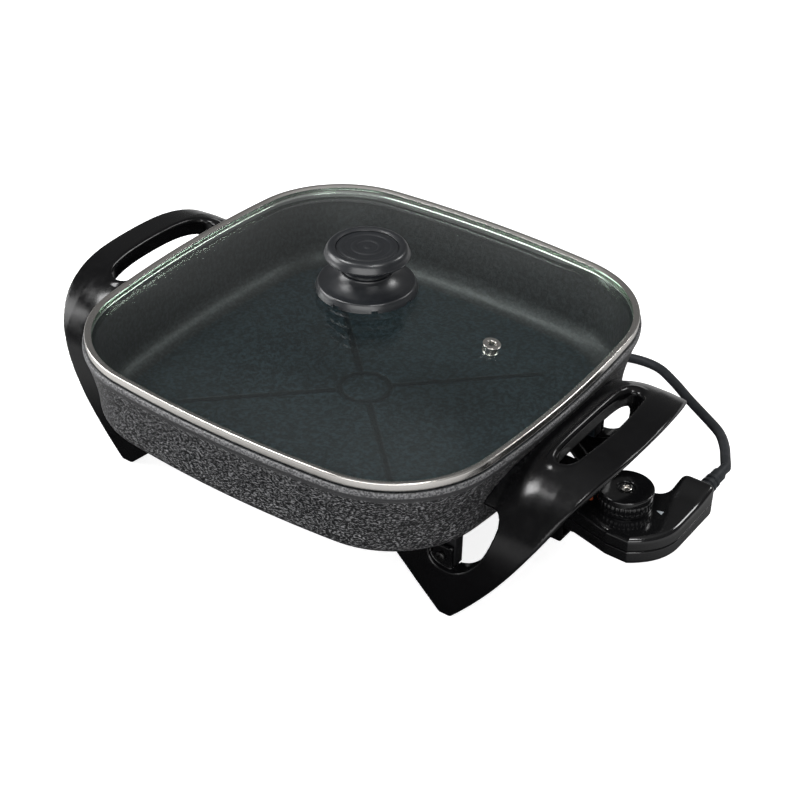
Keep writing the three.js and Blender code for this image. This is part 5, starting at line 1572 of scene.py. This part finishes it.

# %% [markdown]
# ## Floor and light
#
# A white table and soft light from panels, as in a small product studio. Small panels hang high at the
# left, at the right and behind, each where the glass dome doesn't mirror it to the camera. A wide low one at
# the left lights the pan's wall, and a wide low one in front lights the handle and the heat control. Table
# and backdrop are white to the camera, so that the ground is white with a soft shadow, and dimmer where
# they are mirrored, so that the black pieces stay black. In mirrors the table is also painted dark near the
# pan and pale further out: a painted shade round the pan, seen in reflections.

# %%
def seen(wire, to_camera, in_mirrors, as_light):
    """Three brightnesses: seen directly, seen in reflections, and as light on rough surfaces."""
    direct = wire.node("LightPath", {}, result="Is Camera Ray")
    mirrored = wire.node("LightPath", {}, result="Is Glossy Ray")
    return direct * (to_camera - as_light) + mirrored * (in_mirrors - as_light) + as_light


def table_recipe(place):
    beyond = place.node("VectorMath", {0: place}, result="Value", operation="LENGTH")
    return {
        # In reflections the table's colour is dark near the pan and pale beyond: a painted shade round the
        # pan.
        "Base Color": seen(place, 0.8, beyond.rise(200, 360, 0.03, 0.5), 0.6),
        "Emission Color": seen(place, 0.78, 0, 0),
    }


table_white = surface("table_white", table_recipe, Roughness=0.9, Specular_IOR_Level=0, Emission_Strength=1)
table_size = 6
table_corners = [(-table_size, -table_size), (table_size, -table_size), (table_size, table_size)]
table_corners += [(-table_size, table_size)]
table_mesh = bpy.data.meshes.new("table")
table_mesh.from_pydata([(x, y, 0) for x, y in table_corners], [], [(0, 1, 2, 3)])
table_mesh.materials.append(table_white)
table = bpy.data.objects.new("table", table_mesh)
bpy.context.scene.collection.objects.link(table)

world = bpy.data.worlds.new("studio")
bpy.context.scene.world = world
world.use_nodes = True
sky = world.node_tree
backdrop = sky.nodes["Background"]
backdrop.inputs["Color"].default_value = (1, 1, 1, 1)
height = Wire(sky, sky.nodes.new("ShaderNodeTexCoord").outputs["Generated"]).axis(2)
strength = seen(height, 1, height.rise(0.7, 0.98, 0.12, 0.35), 0.45)
sky.links.new(strength.output, backdrop.inputs["Strength"])
bpy.context.scene.view_settings.view_transform = "Standard"


def panel(name, place, size, power):
    """A soft light that faces the pan."""
    data = bpy.data.lights.new(name, "AREA")
    data.shape = "RECTANGLE"
    data.size, data.size_y = size
    data.energy = power
    light = bpy.data.objects.new(name, data)
    bpy.context.scene.collection.objects.link(light)
    light.location = place
    light.rotation_euler = (Vector((0, 0, 0.08)) - Vector(place)).to_track_quat("-Z", "Y").to_euler()


panel("panel_top", (-0.83, -0.48, 1.53), (0.5, 0.5), 12)
panel("panel_left", (-1.4, -0.65, 0.6), (1.1, 0.8), 14)
panel("panel_right", (0.72, -0.34, 1.58), (0.4, 0.4), 7)
panel("panel_back", (0.63, 1.18, 1.13), (0.4, 0.4), 5)
panel("panel_front", (0.85, -1.55, 0.55), (2.2, 0.9), 17)
